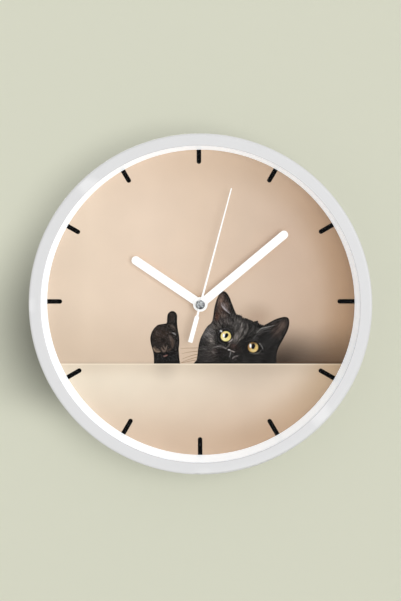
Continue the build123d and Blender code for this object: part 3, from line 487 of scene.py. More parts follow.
class Print:
    """A thin closed slab of ink on the dial, coloured point by point.

    Its points, outline and colours are given in the drawing's own millimetres.
    """

    def __init__(self, name, loop, spacing, colour, lift=0.0, thick=INK_T):
        self.name, self.lift, self.thick = name, lift, thick
        loop = [tuple(p) for p in loop]
        low, high = np.min(loop, axis=0), np.max(loop, axis=0)
        rows = []
        for k, z in enumerate(np.arange(low[1] + spacing / 2, high[1], spacing * ROW_PITCH)):
            xs = np.arange(low[0] + (k % 2) * spacing / 2, high[0], spacing)
            rows.append(np.column_stack([xs, np.full(len(xs), z)]))
        grid = np.vstack(rows)
        grid = grid[inside(grid, loop)]
        edge = np.array(loop)
        near = np.min(np.linalg.norm(grid[:, None] - edge[None, ::2], axis=2), axis=1)
        grid = grid[near > spacing * EDGE_CLEARANCE]
        points = [Vector(p) for p in np.vstack([edge, grid])]
        border = list(range(len(loop)))
        done = delaunay_2d_cdt(points, [], [border], 1, 1e-6)
        self.points = np.array(done[0])
        self.faces = [tuple(f) for f in done[2]]
        self.rgb = np.tile(np.array(dial_paint(*colour)[:3]), (len(self.points), 1))

    def near(self, line, reach):
        """Which of the slab's points lie in the box round a line, widened by reach."""
        low, high = line.min(axis=0) - reach, line.max(axis=0) + reach
        return np.where(((self.points > low) & (self.points < high)).all(axis=1))[0]

    def blend(self, weight, colour):
        """Moves every point's colour towards another by its own weight, 0 to 1."""
        target = np.array(dial_paint(*colour)[:3])
        self.rgb += (target - self.rgb) * np.clip(weight, 0, 1)[:, None]

    def blob(self, centre, radii, colour, strength, turn=0.0):
        """A soft ellipse of colour, turned by that many degrees."""
        a = math.radians(turn)
        d = self.points - centre
        u = (d[:, 0] * math.cos(a) - d[:, 1] * math.sin(a)) / radii[0]
        v = (d[:, 0] * math.sin(a) + d[:, 1] * math.cos(a)) / radii[1]
        self.blend(strength * np.exp(-BLOB_FALLOFF * (u * u + v * v)), colour)

    def blobs(self, rows):
        """One blob for each row of its values."""
        for row in rows:
            self.blob(*row)

    def stroke(self, path, width, colour, strength, taper=0.6):
        """A soft line of colour along a smooth path, thinner at its ends."""
        line = np.array(spline(path, step=max(0.4, width)))
        near = self.near(line, 3 * width)
        gap = np.linalg.norm(self.points[near][:, None] - line[None], axis=2)
        closest = np.argmin(gap, axis=1)
        along = closest / max(1, len(line) - 1)
        local = width * (1 - taper * np.abs(2 * along - 1) ** 2)
        weight = np.zeros(len(self.points))
        weight[near] = strength * np.exp(-((gap.min(axis=1) / local) ** 2))
        self.blend(weight, colour)

    def strokes(self, rows, taper=0.6):
        """One stroke for each row of its values, all with the same taper."""
        for row in rows:
            self.stroke(*row, taper)

    def spot(self, centre, radii, soft, colour, strength):
        """A filled ellipse of colour whose edge is soft over that share of its radius."""
        d = (self.points - centre) / radii
        gap = np.hypot(d[:, 0], d[:, 1])
        self.blend(strength * np.clip((1 - gap) / soft + 0.5, 0, 1), colour)

    def hair(self, start, end, width, gain):
        """Multiplies the colour along a thin straight hair by gain."""
        start, end = np.array(start), np.array(end)
        near = self.near(np.array((start, end)), 2 * width)
        run = end - start
        along = np.clip((self.points[near] - start) @ run / (run @ run), 0, 1)
        gap = np.linalg.norm(self.points[near] - start - along[:, None] * run, axis=1)
        weight = np.exp(-((gap / width) ** 2)) * (1 - along**2)
        self.rgb[near] *= (1 + (gain - 1) * weight)[:, None]

    def build(self, material):
        """Makes the slab, closed all round, and rides it on the case."""
        front = -(DIAL_H + self.lift + self.thick) * MM
        rear = -(DIAL_H + self.lift) * MM
        made = bmesh.new()
        ink_layer = made.verts.layers.float_color.new(INK_LAYER)
        top = []
        for point, rgb in zip(self.points, self.rgb):
            x, z = on_dial(*point)
            vertex = made.verts.new((x * MM, front, z * MM))
            vertex[ink_layer] = (*rgb, 1.0)
            top.append(vertex)
        for face in self.faces:
            made.faces.new([top[i] for i in face])
        border = [e for e in made.edges if e.is_boundary]
        grown = bmesh.ops.extrude_edge_only(made, edges=border)
        for vertex in (g for g in grown["geom"] if isinstance(g, bmesh.types.BMVert)):
            vertex.co.y = rear
        bmesh.ops.holes_fill(made, edges=[e for e in made.edges if e.is_boundary])
        finish_piece(self.name, made, material)


def ink_material(name, rough=0.6, sheen=0.03):
    """Printed ink: its colour comes from the slab's points, with paper grain under it."""
    s = Shader(name)
    speck = s.noise(0.5, 3.0)
    colour = s.mix(1.0, s.ink(), s.smooth(speck, 0.3, 0.7, 0.93, 1.07), "MULTIPLY")
    normal = s.bump(s.noise(0.35, 2.0), 0.008, 0.5)
    return s.surface(Base_Color=colour, Roughness=rough, Normal=normal, Specular_IOR_Level=sheen)


HAIRS_PER_RADIAN, HAIR_LONG = 60.0, 3.0


def fur_material(name, centre):
    """Printed fur: the slab's own colour, broken into fine hairs that lead away from a point."""
    s = Shader(name)
    x, z = on_dial(*centre)
    away = s.vector("SUBTRACT", s.where, (x * MM, 0, z * MM))
    parts = s.node("ShaderNodeSeparateXYZ", {0: away})
    angle = s.math("ARCTAN2", parts.outputs["Z"], parts.outputs["X"])
    reach = s.vector("LENGTH", s.vector("MULTIPLY", away, (1, 0, 1)))
    place = s.node("ShaderNodeCombineXYZ", {0: s.math("MULTIPLY", angle, HAIRS_PER_RADIAN)})
    s.put(place.inputs[1], s.math("DIVIDE", reach, HAIR_LONG * MM))
    hairs = s.noise_at(place.outputs[0], 4.0, 0.65)
    colour = s.mix(1.0, s.ink(), s.smooth(hairs, 0.34, 0.66, 0.55, 1.5), "MULTIPLY")
    normal = s.bump(hairs, 0.01, 0.4)
    return s.surface(Base_Color=colour, Roughness=0.55, Normal=normal, Specular_IOR_Level=0.04)


def add_slab(made, outline, low, high):
    """Adds a closed slab of an (x, z) outline to a mesh, between two heights above the wall."""
    ring = [made.verts.new((x * MM, -low * MM, z * MM)) for x, z in outline]
    grown = bmesh.ops.extrude_face_region(made, geom=[made.faces.new(ring)])
    moved = [g for g in grown["geom"] if isinstance(g, bmesh.types.BMVert)]
    bmesh.ops.translate(made, verts=moved, vec=(0, (low - high) * MM, 0))


def new_object(name, made, material):
    """Turns a mesh under construction into an object of the scene."""
    mesh = bpy.data.meshes.new(name)
    made.to_mesh(mesh)
    made.free()
    mesh.materials.append(material)
    piece = bpy.data.objects.new(name, mesh)
    bpy.context.scene.collection.objects.link(piece)
    return piece


def finish_piece(name, made, material):
    """Turns a closed mesh under construction into a piece that rides on the case."""
    bmesh.ops.recalc_face_normals(made, faces=made.faces)
    piece = new_object(name, made, material)
    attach(piece, "case")


def circle(centre, radius, count=64):
    """A closed circle of points."""
    turns = [2 * math.pi * k / count for k in range(count)]
    return [Vector((centre[0] + radius * math.cos(a), centre[1] + radius * math.sin(a))) for a in turns]


TICK_IN, TICK_W, TICK_T = 102.4, 3.35, 0.06
TICK_EDGE_GAP = 0.05
TICK_EDGE_POINTS = (1, 0.33, -0.33, -1)
ROUND_STEPS = 12


def make_ticks():
    """Twelve bars, round at the inner end, that run out to the dial's visible edge."""
    made = bmesh.new()
    half = TICK_W / 2
    shift = Vector(PRINT_SHIFT)
    for hour in range(12):
        angle = math.radians(30 * hour)
        out = Vector((math.sin(angle), math.cos(angle)))
        side = Vector((out.y, -out.x))
        shape = []
        for across in TICK_EDGE_POINTS:
            start = shift + side * (half * across)
            edge = math.sqrt((VISIBLE_DIAL_R - TICK_EDGE_GAP) ** 2 - start.dot(side) ** 2)
            shape.append(start + out * (edge - start.dot(out)))
        for k in range(ROUND_STEPS + 1):
            a = math.pi * k / ROUND_STEPS
            inner = out * (TICK_IN + half - half * math.sin(a))
            shape.append(shift + inner - side * (half * math.cos(a)))
        add_slab(made, shape, DIAL_H, DIAL_H + TICK_T)
    s = Shader("tick_ink")
    tone = s.mix(s.noise(1.5, 3.0), linear(2, 3, 4), linear(14, 14, 14))
    gloss = s.smooth(s.noise(0.6, 2.0), 0.3, 0.7, 0.4, 0.55)
    grain = s.bump(s.noise(0.35), 0.006, 0.5)
    tick_ink = s.surface(Base_Color=tone, Roughness=gloss, Normal=grain, Specular_IOR_Level=0.03)
    finish_piece("hour_ticks", made, tick_ink)


make_ticks()

# -------- raised marks on the movement's back
REAR_H = height_of("movement_cover", front=False)
MARK_T = 0.35
SIGN_Z, PLUS_X, MINUS_X = -8.9, 16.5, -9.0
SIGN_LONG, SIGN_W, PLUS_ARM = 3.2, 0.8, 1.4
ARROW_R, ARROW_W, ARROW_HEAD_HALF, ARROW_HEAD_LONG = 8.3, 0.9, 1.5, 2.4
RIDGE_W, RIDGE_INSET, RIDGE_GAP, RIDGE_SIDE_LONG = 0.6, 2.6, 0.5, 23.0
RIDGE_DROP, RIDGE_SHORTER = 22.0, 16.0
RING_X, RING_Z, RING_R, RING_W = 20.0, 19.5, 2.2, 0.5


def arc_band(centre, radius, width, start, end, count=16):
    """The outline of a curved band between two angles in degrees."""
    out = []
    for r, first, last in ((radius + width / 2, start, end), (radius - width / 2, end, start)):
        for k in range(count + 1):
            a = math.radians(first + (last - first) * k / count)
            out.append((centre[0] + r * math.cos(a), centre[1] + r * math.sin(a)))
    return out


def bar(x, z, wide, high):
    """The outline of a rectangle about a point."""
    u, v = wide / 2, high / 2
    return [(x - u, z - v), (x + u, z - v), (x + u, z + v), (x - u, z + v)]


def make_movement_marks():
    """White arrows round the setting knob and polarity marks, and black moulded ridges and rings."""
    low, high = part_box("movement_cover")
    knob_low, knob_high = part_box("setting_knob")
    knob = Vector((knob_low.x + knob_high.x, knob_low.z + knob_high.z)) / (2 * MM)
    white = [bar(x, SIGN_Z, SIGN_LONG, SIGN_W) for x in (PLUS_X, MINUS_X)]
    for side in (1, -1):
        arm_z = SIGN_Z + side * (SIGN_W + PLUS_ARM) / 2
        white.append(bar(PLUS_X, arm_z, SIGN_W, PLUS_ARM))
    for start, end, turn in ((22, 84, 1), (158, 96, -1)):
        a = math.radians(start)
        out = Vector((math.cos(a), math.sin(a)))
        along = Vector((math.sin(a), -math.cos(a))) * turn
        foot = knob + out * ARROW_R
        spread = out * ARROW_HEAD_HALF
        white.append(arc_band(knob, ARROW_R, ARROW_W, start, end))
        white.append([foot + spread, foot - spread, foot + along * ARROW_HEAD_LONG])
    left, right = low.x / MM + RIDGE_INSET, high.x / MM - RIDGE_INSET
    top = high.z / MM - RIDGE_INSET
    wide = right - left
    black = [bar(0, top, wide, RIDGE_W), bar(0, top - RIDGE_DROP, wide - RIDGE_SHORTER, RIDGE_W)]
    for x in (left, right):
        black.append(bar(x, top - RIDGE_GAP - RIDGE_SIDE_LONG / 2, RIDGE_W, RIDGE_SIDE_LONG))
    for x in (-RING_X, RING_X):
        for start in (2, 182):
            black.append(arc_band((x, RING_Z), RING_R, RING_W, start, start + 176))
    for name, shapes, colour in (
        ("movement_marks", white, linear(186, 186, 182)),
        ("movement_ridges", black, linear(38, 38, 41)),
    ):
        made = bmesh.new()
        for shape in shapes:
            add_slab(made, shape, REAR_H, REAR_H - MARK_T)
        paint_coat = plastic(f"{name}_ink", colour, 0.4, 0.4, 0.02, 0.1, 0.1, 0.0, 0.4)
        finish_piece(name, made, paint_coat)


make_movement_marks()

# -------- the printed cat
rng = random.Random(7)
TUFT_SPACING = 3
CUT_MARGIN = 0.4
HAIR_GAINS = (1.9, 1.6, 1.45, 0.6, 0.5, 0.42)


def furry(loop, rough):
    """A loop with small tufts standing out of it, but straight where it is cut by the ledge."""
    out = []
    for i, p in enumerate(loop):
        along = (loop[(i + 1) % len(loop)] - loop[i - 1]).normalized()
        outward = Vector((-along.y, along.x))
        reach = rng.uniform(0.1, 1.0) if i % TUFT_SPACING == 0 else rng.uniform(-0.15, 0.1)
        out.append(p + outward * (0 if p.y < LEDGE + CUT_MARGIN else rough(p) * reach))
    return out


def comb(shape, centre, count, area, length):
    """Random hairs that lead away from centre, each a little lighter or darker than what it crosses."""
    for _ in range(count):
        at = Vector((rng.uniform(*area[0]), rng.uniform(*area[1])))
        out = (at - centre).normalized()
        out.rotate(Matrix.Rotation(rng.gauss(0, 0.2), 2))
        gain = rng.choice(HAIR_GAINS)
        shape.hair(at, at + out * rng.uniform(*length), rng.uniform(0.16, 0.3), gain)


head_line = [
    (-4.8, LEDGE), (-2.6, -43.6), (-1.7, -39.5), (-1.0, -33.5), (0.4, -28.0), (2.6, -23.2),
    (5.2, -18.9), (8.6, -15.7), (9.8, -12.4), (10.7, -6.0), (12.0, -0.6), (13.8, 4.1),
    (15.8, 6.9), (17.7, 7.6), (19.9, 6.5), (22.1, 3.1), (24.2, -2.4), (26.0, -6.9),
    (27.7, -9.6), (29.6, -9.8), (31.0, -9.9), (31.6, -11.5), (35.2, -12.7), (39.8, -14.6),
    (42.0, -14.5), (42.9, -14.3), (43.7, -16.2), (47.4, -17.3), (51.1, -15.7), (55.5, -13.4),
    (59.9, -11.9), (63.1, -11.5), (65.3, -12.4), (66.1, -14.6), (65.9, -18.2), (64.3, -22.8),
    (61.3, -28.6), (58.7, -33.2), (57.1, -37.4), (56.6, -42.0), (56.5, LEDGE),
]
LEFT_EYE, RIGHT_EYE, EYE_R = (19.3, -25.9), (39.35, -34.1), 3.95
NOSE = (23.5, -36.5)


def head_fur(p):
    """How far tufts stand out of the head's outline at a point."""
    if 26 < p.x < 48 and p.y > -19:
        return 1.0
    if p.x < 9 and p.y < -16:
        return 0.4
    return 0.16


head_loop = spline(head_line, step=0.45)
head_loop.reverse()
head = Print("cat_head_print", furry(head_loop, head_fur), 0.3, (33, 31, 30))

# broad tones of the coat
coat_tones = (
    ((6.0, -23.0), (4.8, 6.8), (108, 104, 104), 0.88, 25),
    ((11.5, -19.0), (4.2, 4.0), (84, 78, 74), 0.85),
    ((8.4, -29.0), (3.2, 5.0), (112, 105, 101), 0.85),
    ((2.6, -34.0), (3.4, 5.0), (44, 42, 41), 0.8),
    ((10.5, -39.0), (7.0, 5.4), (66, 60, 57), 0.8),
    ((17.5, -9.6), (4.4, 3.2), (96, 84, 79), 0.8),
    ((18.3, -14.6), (8.6, 3.4), (82, 75, 73), 0.8, 5),
    ((28.5, -16.5), (7.5, 6.5), (80, 76, 74), 0.8),
    ((26.6, -27.4), (3.0, 4.8), (122, 113, 109), 0.8, 20),
    ((41.0, -27.6), (2.6, 1.8), (74, 72, 71), 0.7),
    ((50.5, -28.0), (7.5, 9.0), (42, 40, 40), 0.75),
    ((38.5, -20.5), (6.0, 4.0), (44, 42, 41), 0.6),
    ((36.0, -41.0), (16.0, 4.5), (38, 36, 35), 0.7),
)
head.blobs(coat_tones)

# forehead folds
forehead_folds = (
    ([(28.2, -14.0), (30.8, -16.6), (31.0, -20.0), (28.8, -23.8), (25.6, -29.0)], 1.7, (112, 106, 103), 0.6),
    ([(31.0, -17.5), (31.6, -20.0), (30.0, -24.0), (28.2, -29.0)], 0.6, (122, 115, 111), 0.5),
    ([(26.4, -15.6), (26.8, -18.6), (25.4, -21.6)], 1.5, (78, 74, 72), 0.6),
    ([(35.0, -16.6), (35.0, -21.0), (32.4, -25.2), (29.8, -28.6)], 0.9, (108, 102, 98), 0.62),
    ([(34.8, -20.0), (33.0, -23.4)], 0.5, (126, 120, 117), 0.45),
    ([(39.6, -17.8), (37.8, -22.2), (35.6, -26.0)], 0.8, (70, 67, 66), 0.5),
    ([(33.2, -14.6), (33.3, -18.4), (31.9, -22.4), (29.6, -26.8)], 0.5, (24, 23, 22), 0.7),
    ([(28.6, -14.6), (29.0, -17.6), (27.4, -21.2)], 0.45, (40, 38, 37), 0.6),
    ([(37.8, -16.8), (36.6, -21.2), (33.8, -26.4)], 0.5, (22, 21, 21), 0.65),
    ([(22.8, -12.4), (25.4, -15.4)], 0.9, (26, 25, 25), 0.6),
)
head.strokes(forehead_folds)

# nose, muzzle and mouth
muzzle_tones = (
    ((15.0, -38.4), (5.4, 4.4), (30, 26, 26), 0.9),
    ((11.2, -36.2), (1.5, 1.2), (78, 64, 61), 0.6),
    ((25.0, -33.0), (3.4, 2.4), (70, 54, 49), 0.92, 25),
    ((28.6, -35.4), (3.0, 2.4), (48, 39, 36), 0.8),
)
head.blobs(muzzle_tones)
muzzle_lines = (
    ([(23.6, -30.4), (21.8, -32.0), (20.8, -33.6), (19.4, -35.0)], 0.5, (124, 117, 114), 0.72),
    ([(9.0, -35.2), (11.3, -33.9), (14.9, -33.2), (18.4, -34.4), (19.6, -35.3)], 1.0, (104, 98, 96), 0.7),
    ([(12.4, -33.5), (15.4, -33.4), (18.8, -34.8)], 0.4, (140, 132, 130), 0.55),
    ([(10.2, -35.4), (10.0, -37.4), (11.2, -39.6)], 0.9, (92, 84, 82), 0.6),
    ([(20.9, -35.8), (22.4, -36.2)], 0.5, (226, 218, 216), 0.95),
    ([(22.4, -36.3), (25.6, -37.7)], 0.42, (164, 152, 148), 0.8),
    ([(22.9, -37.0), (22.6, -39.2), (21.6, -41.6)], 0.34, (150, 145, 145), 0.75),
    ([(24.0, -42.6), (25.6, -41.2), (28.6, -40.4)], 0.42, (150, 140, 138), 0.7),
    ([(25.2, -41.6), (27.2, -41.2)], 0.7, (96, 88, 86), 0.6),
    ([(25.4, -43.5), (27.4, -43.1)], 0.4, (104, 97, 95), 0.6),
    ([(18.6, -38.0), (19.4, -41.4)], 0.5, (20, 18, 18), 0.6),
    ([(-2.0, -44.4), (20.0, -44.6), (54.0, -44.4)], 0.3, (62, 59, 57), 0.4),
)
head.strokes(muzzle_lines)

comb(head, Vector(NOSE), 3600, ((-3, 66), (LEDGE, 7)), (1.4, 3.8))

# pale lines of fur swept back across the left cheek
for k in range(14):
    z = -33.5 - 0.9 * k
    head.stroke([(9.5, z + 0.9), (4.0, z + 0.3), (-1.0, z - 1.0)], 0.2, (112, 106, 106), 0.38)


def fill_ear(count, area, hair, browns, strength):
    """Brown hairs inside an ear, scattered over an area of x and z."""
    for _ in range(count):
        x, z = rng.uniform(*area[0]), rng.uniform(*area[1])
        head.stroke([(x + dx, z + dz) for dx, dz in hair], 0.2, rng.choice(browns), strength)


# left ear: brown inside with a pale tuft
left_ear_tones = (
    ((15.6, 1.4), (2.6, 5.0), (124, 102, 92), 0.88, 10),
    ((15.4, -5.6), (3.0, 5.2), (92, 72, 63), 0.85, 10),
    ((12.9, -11.2), (1.8, 3.4), (92, 60, 47), 0.8, 5),
    ((20.4, -2.6), (1.8, 4.8), (84, 70, 64), 0.85, -20),
)
head.blobs(left_ear_tones)
left_ear_browns = ((136, 116, 106), (50, 38, 34), (118, 98, 88), (40, 30, 28))
fill_ear(26, ((12.4, 20.4), (-12.5, -3.5)), ((0, 0), (0.5, 3.0), (1.6, 6.0)), left_ear_browns, 0.42)
left_ear_tuft = (
    ([(16.6, -1.2), (18.4, -4.0), (21.0, -7.2)], 1.6, (112, 101, 99), 0.6),
    ([(15.8, -1.4), (17.6, -3.6), (19.8, -5.6)], 0.3, (186, 177, 178), 0.75),
    ([(17.3, -0.4), (18.4, -2.6), (19.8, -4.6)], 0.26, (150, 139, 137), 0.6),
    ([(16.0, -2.8), (18.0, -4.9), (20.4, -6.9)], 0.32, (206, 198, 202), 0.8),
    ([(17.0, -3.1), (19.0, -4.9), (21.2, -7.4)], 0.24, (60, 52, 50), 0.6),
    ([(16.6, -4.2), (18.8, -6.2), (21.4, -8.2)], 0.28, (172, 163, 166), 0.75),
    ([(18.0, -5.6), (20.2, -7.4), (22.8, -9.4)], 0.24, (192, 185, 189), 0.7),
    ([(20.0, -5.6), (21.4, -7.4), (22.9, -9.0)], 0.24, (128, 119, 118), 0.6),
    ([(15.6, -5.2), (18.2, -7.4), (22.6, -10.4)], 0.5, (20, 17, 17), 0.85),
    ([(15.0, -3.2), (15.8, -5.0)], 0.5, (30, 24, 23), 0.6),
    ([(13.4, -9.2), (16.6, -8.4), (19.8, -9.6)], 0.5, (44, 36, 34), 0.6),
)
head.strokes(left_ear_tuft)

# right ear: brown inside, with pale hairs over its root
right_ear_tones = (
    ((60.8, -18.2), (3.2, 5.2), (92, 77, 70), 0.9, 30),
    ((56.4, -22.6), (3.2, 4.2), (72, 60, 56), 0.8, 30),
    ((54.5, -17.4), (4.0, 1.8), (58, 51, 49), 0.7, -20),
)
head.blobs(right_ear_tones)
right_ear_browns = ((116, 98, 90), (44, 36, 33), (98, 80, 72), (30, 26, 25))
fill_ear(30, ((54, 63), (-25, -15)), ((0, 0), (-1.6, -2.0), (-2.8, -4.2)), right_ear_browns, 0.45)
right_ear_hairs = (
    ([(41.8, -23.6), (45.1, -20.4), (49.4, -19.2), (55.0, -17.8)], 0.3, (160, 156, 152), 0.85),
    ([(42.6, -24.8), (46.6, -21.2), (52.2, -20.0)], 0.24, (132, 128, 126), 0.75),
    ([(40.4, -26.6), (43.2, -22.8), (46.0, -20.0)], 0.26, (118, 114, 112), 0.65),
    ([(43.4, -25.6), (47.2, -22.6), (53.2, -22.2)], 0.22, (104, 100, 98), 0.6),
    ([(50.2, -17.4), (55.8, -14.9), (61.0, -13.4)], 0.4, (70, 64, 62), 0.5),
)
head.strokes(right_ear_hairs)

# eye sockets and lids
for centre in (LEFT_EYE, RIGHT_EYE):
    head.blob(centre, (EYE_R * 1.75, EYE_R * 1.75), (13, 12, 13), 0.95)
lid_lines = (
    ([(13.9, -23.9), (16.4, -20.9), (20.6, -20.4), (23.6, -22.6)], 0.3, (92, 88, 92), 0.55),
    ([(24.0, -28.0), (23.1, -29.2), (21.6, -30.2)], 0.4, (204, 190, 186), 0.85),
    ([(13.6, -27.0), (14.8, -30.0), (17.6, -31.6)], 0.3, (84, 80, 82), 0.5),
    ([(44.0, -31.2), (45.6, -33.0), (46.6, -35.4)], 0.28, (150, 148, 146), 0.7),
    ([(45.2, -36.4), (43.6, -38.2), (40.4, -39.0), (37.0, -38.2)], 0.3, (120, 118, 112), 0.6),
    ([(36.6, -29.4), (39.6, -28.6), (42.6, -29.4)], 0.3, (78, 76, 75), 0.5),
    ([(46.8, -31.4), (48.6, -33.4)], 0.24, (104, 102, 100), 0.5),
    ([(15.6, -21.9), (16.1, -22.3)], 0.62, (255, 255, 255), 1.0),
)
head.strokes(lid_lines, 0.2)

# the black rim of the outline, drawn last
head.stroke(head_line[8:20], 0.75, (12, 11, 12), 0.92, 0.1)
head.stroke(head_line[22:], 0.72, (14, 13, 13), 0.85, 0.1)
head.stroke([(-4.5, -45.9), (20.0, -46.0), (56.0, -46.0)], 0.6, (15, 14, 14), 0.85, 0.0)
head.build(fur_material("printed_fur_head", NOSE))


def make_eye(name, centre, base, tints, pupil, gleam):
    """A round yellow iris with fine fibres, soft tints, a tilted pupil and a window reflection."""
    eye = Print(name, circle(centre, EYE_R), 0.14, base, lift=INK_T, thick=THIN_INK_T)
    middle = Vector(centre)
    for _ in range(190):
        way = Vector((1, 0))
        way.rotate(Matrix.Rotation(rng.uniform(0, 2 * math.pi), 2))
        inner, outer = rng.uniform(0.40, 0.6) * EYE_R, rng.uniform(0.75, 0.98) * EYE_R
        tone = rng.choice(((252, 245, 196), (244, 232, 158), (206, 172, 92), (236, 218, 134)))
        eye.stroke([middle + way * inner, middle + way * outer], 0.12, tone, 0.45)
    eye.blobs(tints)
    gap = np.linalg.norm(eye.points - centre, axis=1) / EYE_R
    eye.blend(np.clip((gap - 0.89) / 0.1, 0, 1) * 0.9, (60, 42, 24))
    for place, radii in pupil:
        eye.spot(place, radii, 0.14, (6, 6, 16), 1.0)
    eye.spot(gleam, (0.78, 1.5), 0.35, (252, 252, 255), 1.0)
    eye.build(ink_gloss)


ink_gloss = ink_material("printed_ink_gloss", 0.4, 0.08)
make_eye(
    "cat_eye_left_print",
    LEFT_EYE,
    (240, 222, 142),
    (
        ((17.4, -28.0), (2.2, 1.9), (250, 236, 164), 0.7),
        ((22.0, -25.6), (0.9, 1.8), (228, 190, 102), 0.75),
        ((18.6, -27.8), (1.4, 0.8), (250, 246, 214), 0.7),
        ((17.6, -23.4), (1.2, 0.9), (240, 196, 140), 0.7),
    ),
    (((20.0, -24.9), (1.25, 1.4)), ((19.55, -25.6), (1.15, 1.2)), ((19.1, -26.3), (1.0, 1.0))),
    (17.75, -25.3),
)
make_eye(
    "cat_eye_right_print",
    RIGHT_EYE,
    (204, 168, 98),
    (
        ((39.6, -30.8), (4.0, 1.8), (92, 60, 34), 0.95),
        ((36.2, -33.8), (1.3, 3.2), (140, 92, 46), 0.92),
        ((42.2, -33.8), (1.0, 2.4), (226, 196, 122), 0.7),
        ((41.0, -36.8), (2.0, 1.2), (242, 212, 148), 0.7),
        ((39.0, -36.2), (1.6, 0.8), (214, 206, 160), 0.6),
    ),
    (((39.6, -33.0), (1.45, 1.6)), ((39.3, -34.0), (1.2, 1.5))),
    (37.45, -33.0),
)

# whiskers lying across the background at the left
whisker_ink = ink_material("printed_ink")
whiskers = [
    [(-1.0, -34.6), (-7.5, -34.7), (-14.2, -35.0)],
    [(-1.2, -37.0), (-7.0, -37.6), (-13.4, -38.8)],
    [(-1.4, -39.2), (-7.0, -40.6), (-13.0, -42.9)],
    [(-2.0, -41.4), (-8.0, -43.2), (-13.6, -45.4)],
    [(-3.0, -43.6), (-8.0, -44.6), (-15.2, -46.1)],
]
for number, path in enumerate(whiskers, 1):
    line = [Vector(p) for p in spline(path, step=0.7)]
    left, right = [], []
    for i, p in enumerate(line):
        a, b = line[max(0, i - 1)], line[min(len(line) - 1, i + 1)]
        along = (b - a).normalized()
        side = Vector((-along.y, along.x)) * (0.17 * (1 - 0.75 * i / len(line)) + 0.03)
        left.append(p + side)
        right.append(p - side)
    hair = Print(f"whisker_{number}_print", left + right[::-1], 0.3, (150, 118, 92), thick=THIN_INK_T)
    hair.build(whisker_ink)

# the raised paw
paw_line = [
    (-33.9, LEDGE), (-34.0, -41.0), (-34.6, -37.0), (-35.9, -32.4), (-36.5, -27.6), (-35.6, -23.3),
    (-33.4, -19.8), (-30.6, -17.4), (-27.0, -16.7), (-24.4, -16.0), (-24.0, -12.8), (-23.6, -9.9),
    (-22.2, -7.9), (-19.9, -7.1), (-17.6, -8.3), (-16.5, -10.8), (-16.6, -15.2), (-16.1, -20.6),
    (-15.1, -26.4), (-15.0, -31.4), (-15.5, -35.4), (-15.1, -41.0), (-14.6, LEDGE),
]
PAW = (-26.0, -30.0)
paw_loop = spline(paw_line, step=0.45)
paw_loop.reverse()
paw = Print("cat_paw_print", furry(paw_loop, lambda p: 0.2), 0.32, (33, 31, 30))
paw_tones = (
    ((-28.0, -25.6), (9.0, 9.4), (57, 47, 42), 0.9),
    ((-31.0, -23.6), (4.4, 7.4), (53, 44, 40), 0.7, -10),
    ((-26.2, -28.6), (4.2, 4.4), (38, 33, 31), 0.9),
    ((-20.4, -11.8), (2.0, 4.0), (48, 39, 35), 0.9),
    ((-25.4, -42.2), (9.0, 3.6), (33, 33, 34), 0.85),
)
paw.blobs(paw_tones)
comb(paw, Vector(PAW), 1300, ((-37, -14), (LEDGE, -7)), (1.0, 2.8))
for _ in range(26):
    speck = (-20.3 + rng.uniform(-1.8, 1.8), -12.2 + rng.uniform(-3.6, 3.4))
    paw.blob(speck, (0.28, 0.28), (104, 90, 82), 0.5)
paw_lines = (
    ([(-22.6, -17.4), (-19.9, -19.0), (-18.0, -22.0)], 1.2, (88, 76, 69), 0.62),
    ([(-20.6, -17.4), (-17.9, -20.2)], 0.4, (112, 98, 90), 0.5),
    ([(-20.4, -23.3), (-19.0, -23.7), (-17.6, -24.9)], 0.36, (176, 170, 170), 0.9),
    ([(-21.0, -22.4), (-18.6, -22.4)], 0.4, (12, 11, 11), 0.85),
    ([(-21.4, -26.2), (-20.0, -30.2), (-20.2, -34.2)], 1.3, (92, 76, 67), 0.8),
    ([(-22.0, -25.2), (-21.4, -29.6)], 0.7, (112, 100, 94), 0.6),
    ([(-34.4, -34.4), (-32.4, -37.0), (-29.2, -37.2)], 0.75, (150, 128, 110), 0.88),
    ([(-33.6, -33.2), (-31.8, -35.6), (-29.6, -36.0)], 0.5, (118, 101, 88), 0.65),
    ([(-28.4, -34.4), (-26.4, -37.0), (-24.4, -35.0)], 0.8, (126, 107, 96), 0.8),
    ([(-27.2, -32.8), (-25.4, -35.0), (-24.0, -32.8)], 0.5, (142, 124, 112), 0.6),
    ([(-24.4, -36.8), (-21.8, -35.6), (-20.4, -34.0)], 0.6, (92, 76, 67), 0.65),
    ([(-26.8, -40.9), (-25.3, -40.5), (-23.9, -39.8)], 0.42, (172, 126, 116), 0.9),
)
paw.strokes(paw_lines)
for k in range(5):
    x, z = -33.0 + 3.0 * k, -33.6 - 0.8 * (k % 2)
    paw.stroke([(x, z), (x + 0.8, z - 2.6)], 0.3, (15, 14, 14), 0.65)
paw.stroke([(-33.4, -38.4), (-27.0, -39.4), (-19.0, -38.4)], 0.7, (16, 15, 15), 0.75)
paw.stroke(paw_line[:8], 0.6, (14, 12, 12), 0.85, 0.1)
paw.stroke(paw_line[8:], 0.7, (12, 11, 11), 0.88, 0.1)
paw.stroke([(-34.2, -45.9), (-14.8, -45.9)], 0.7, (10, 10, 10), 0.9, 0.0)
paw.build(fur_material("printed_fur_paw", PAW))


# -------- stage
NEAR_WALL = 0.04


def panel(name, corners, material):
    """A flat backdrop panel, divided into a grid."""
    made = bmesh.new()
    made.faces.new([made.verts.new(c) for c in corners])
    bmesh.ops.subdivide_edges(made, edges=made.edges[:], cuts=8, use_grid_fill=True)
    new_object(name, made, material)


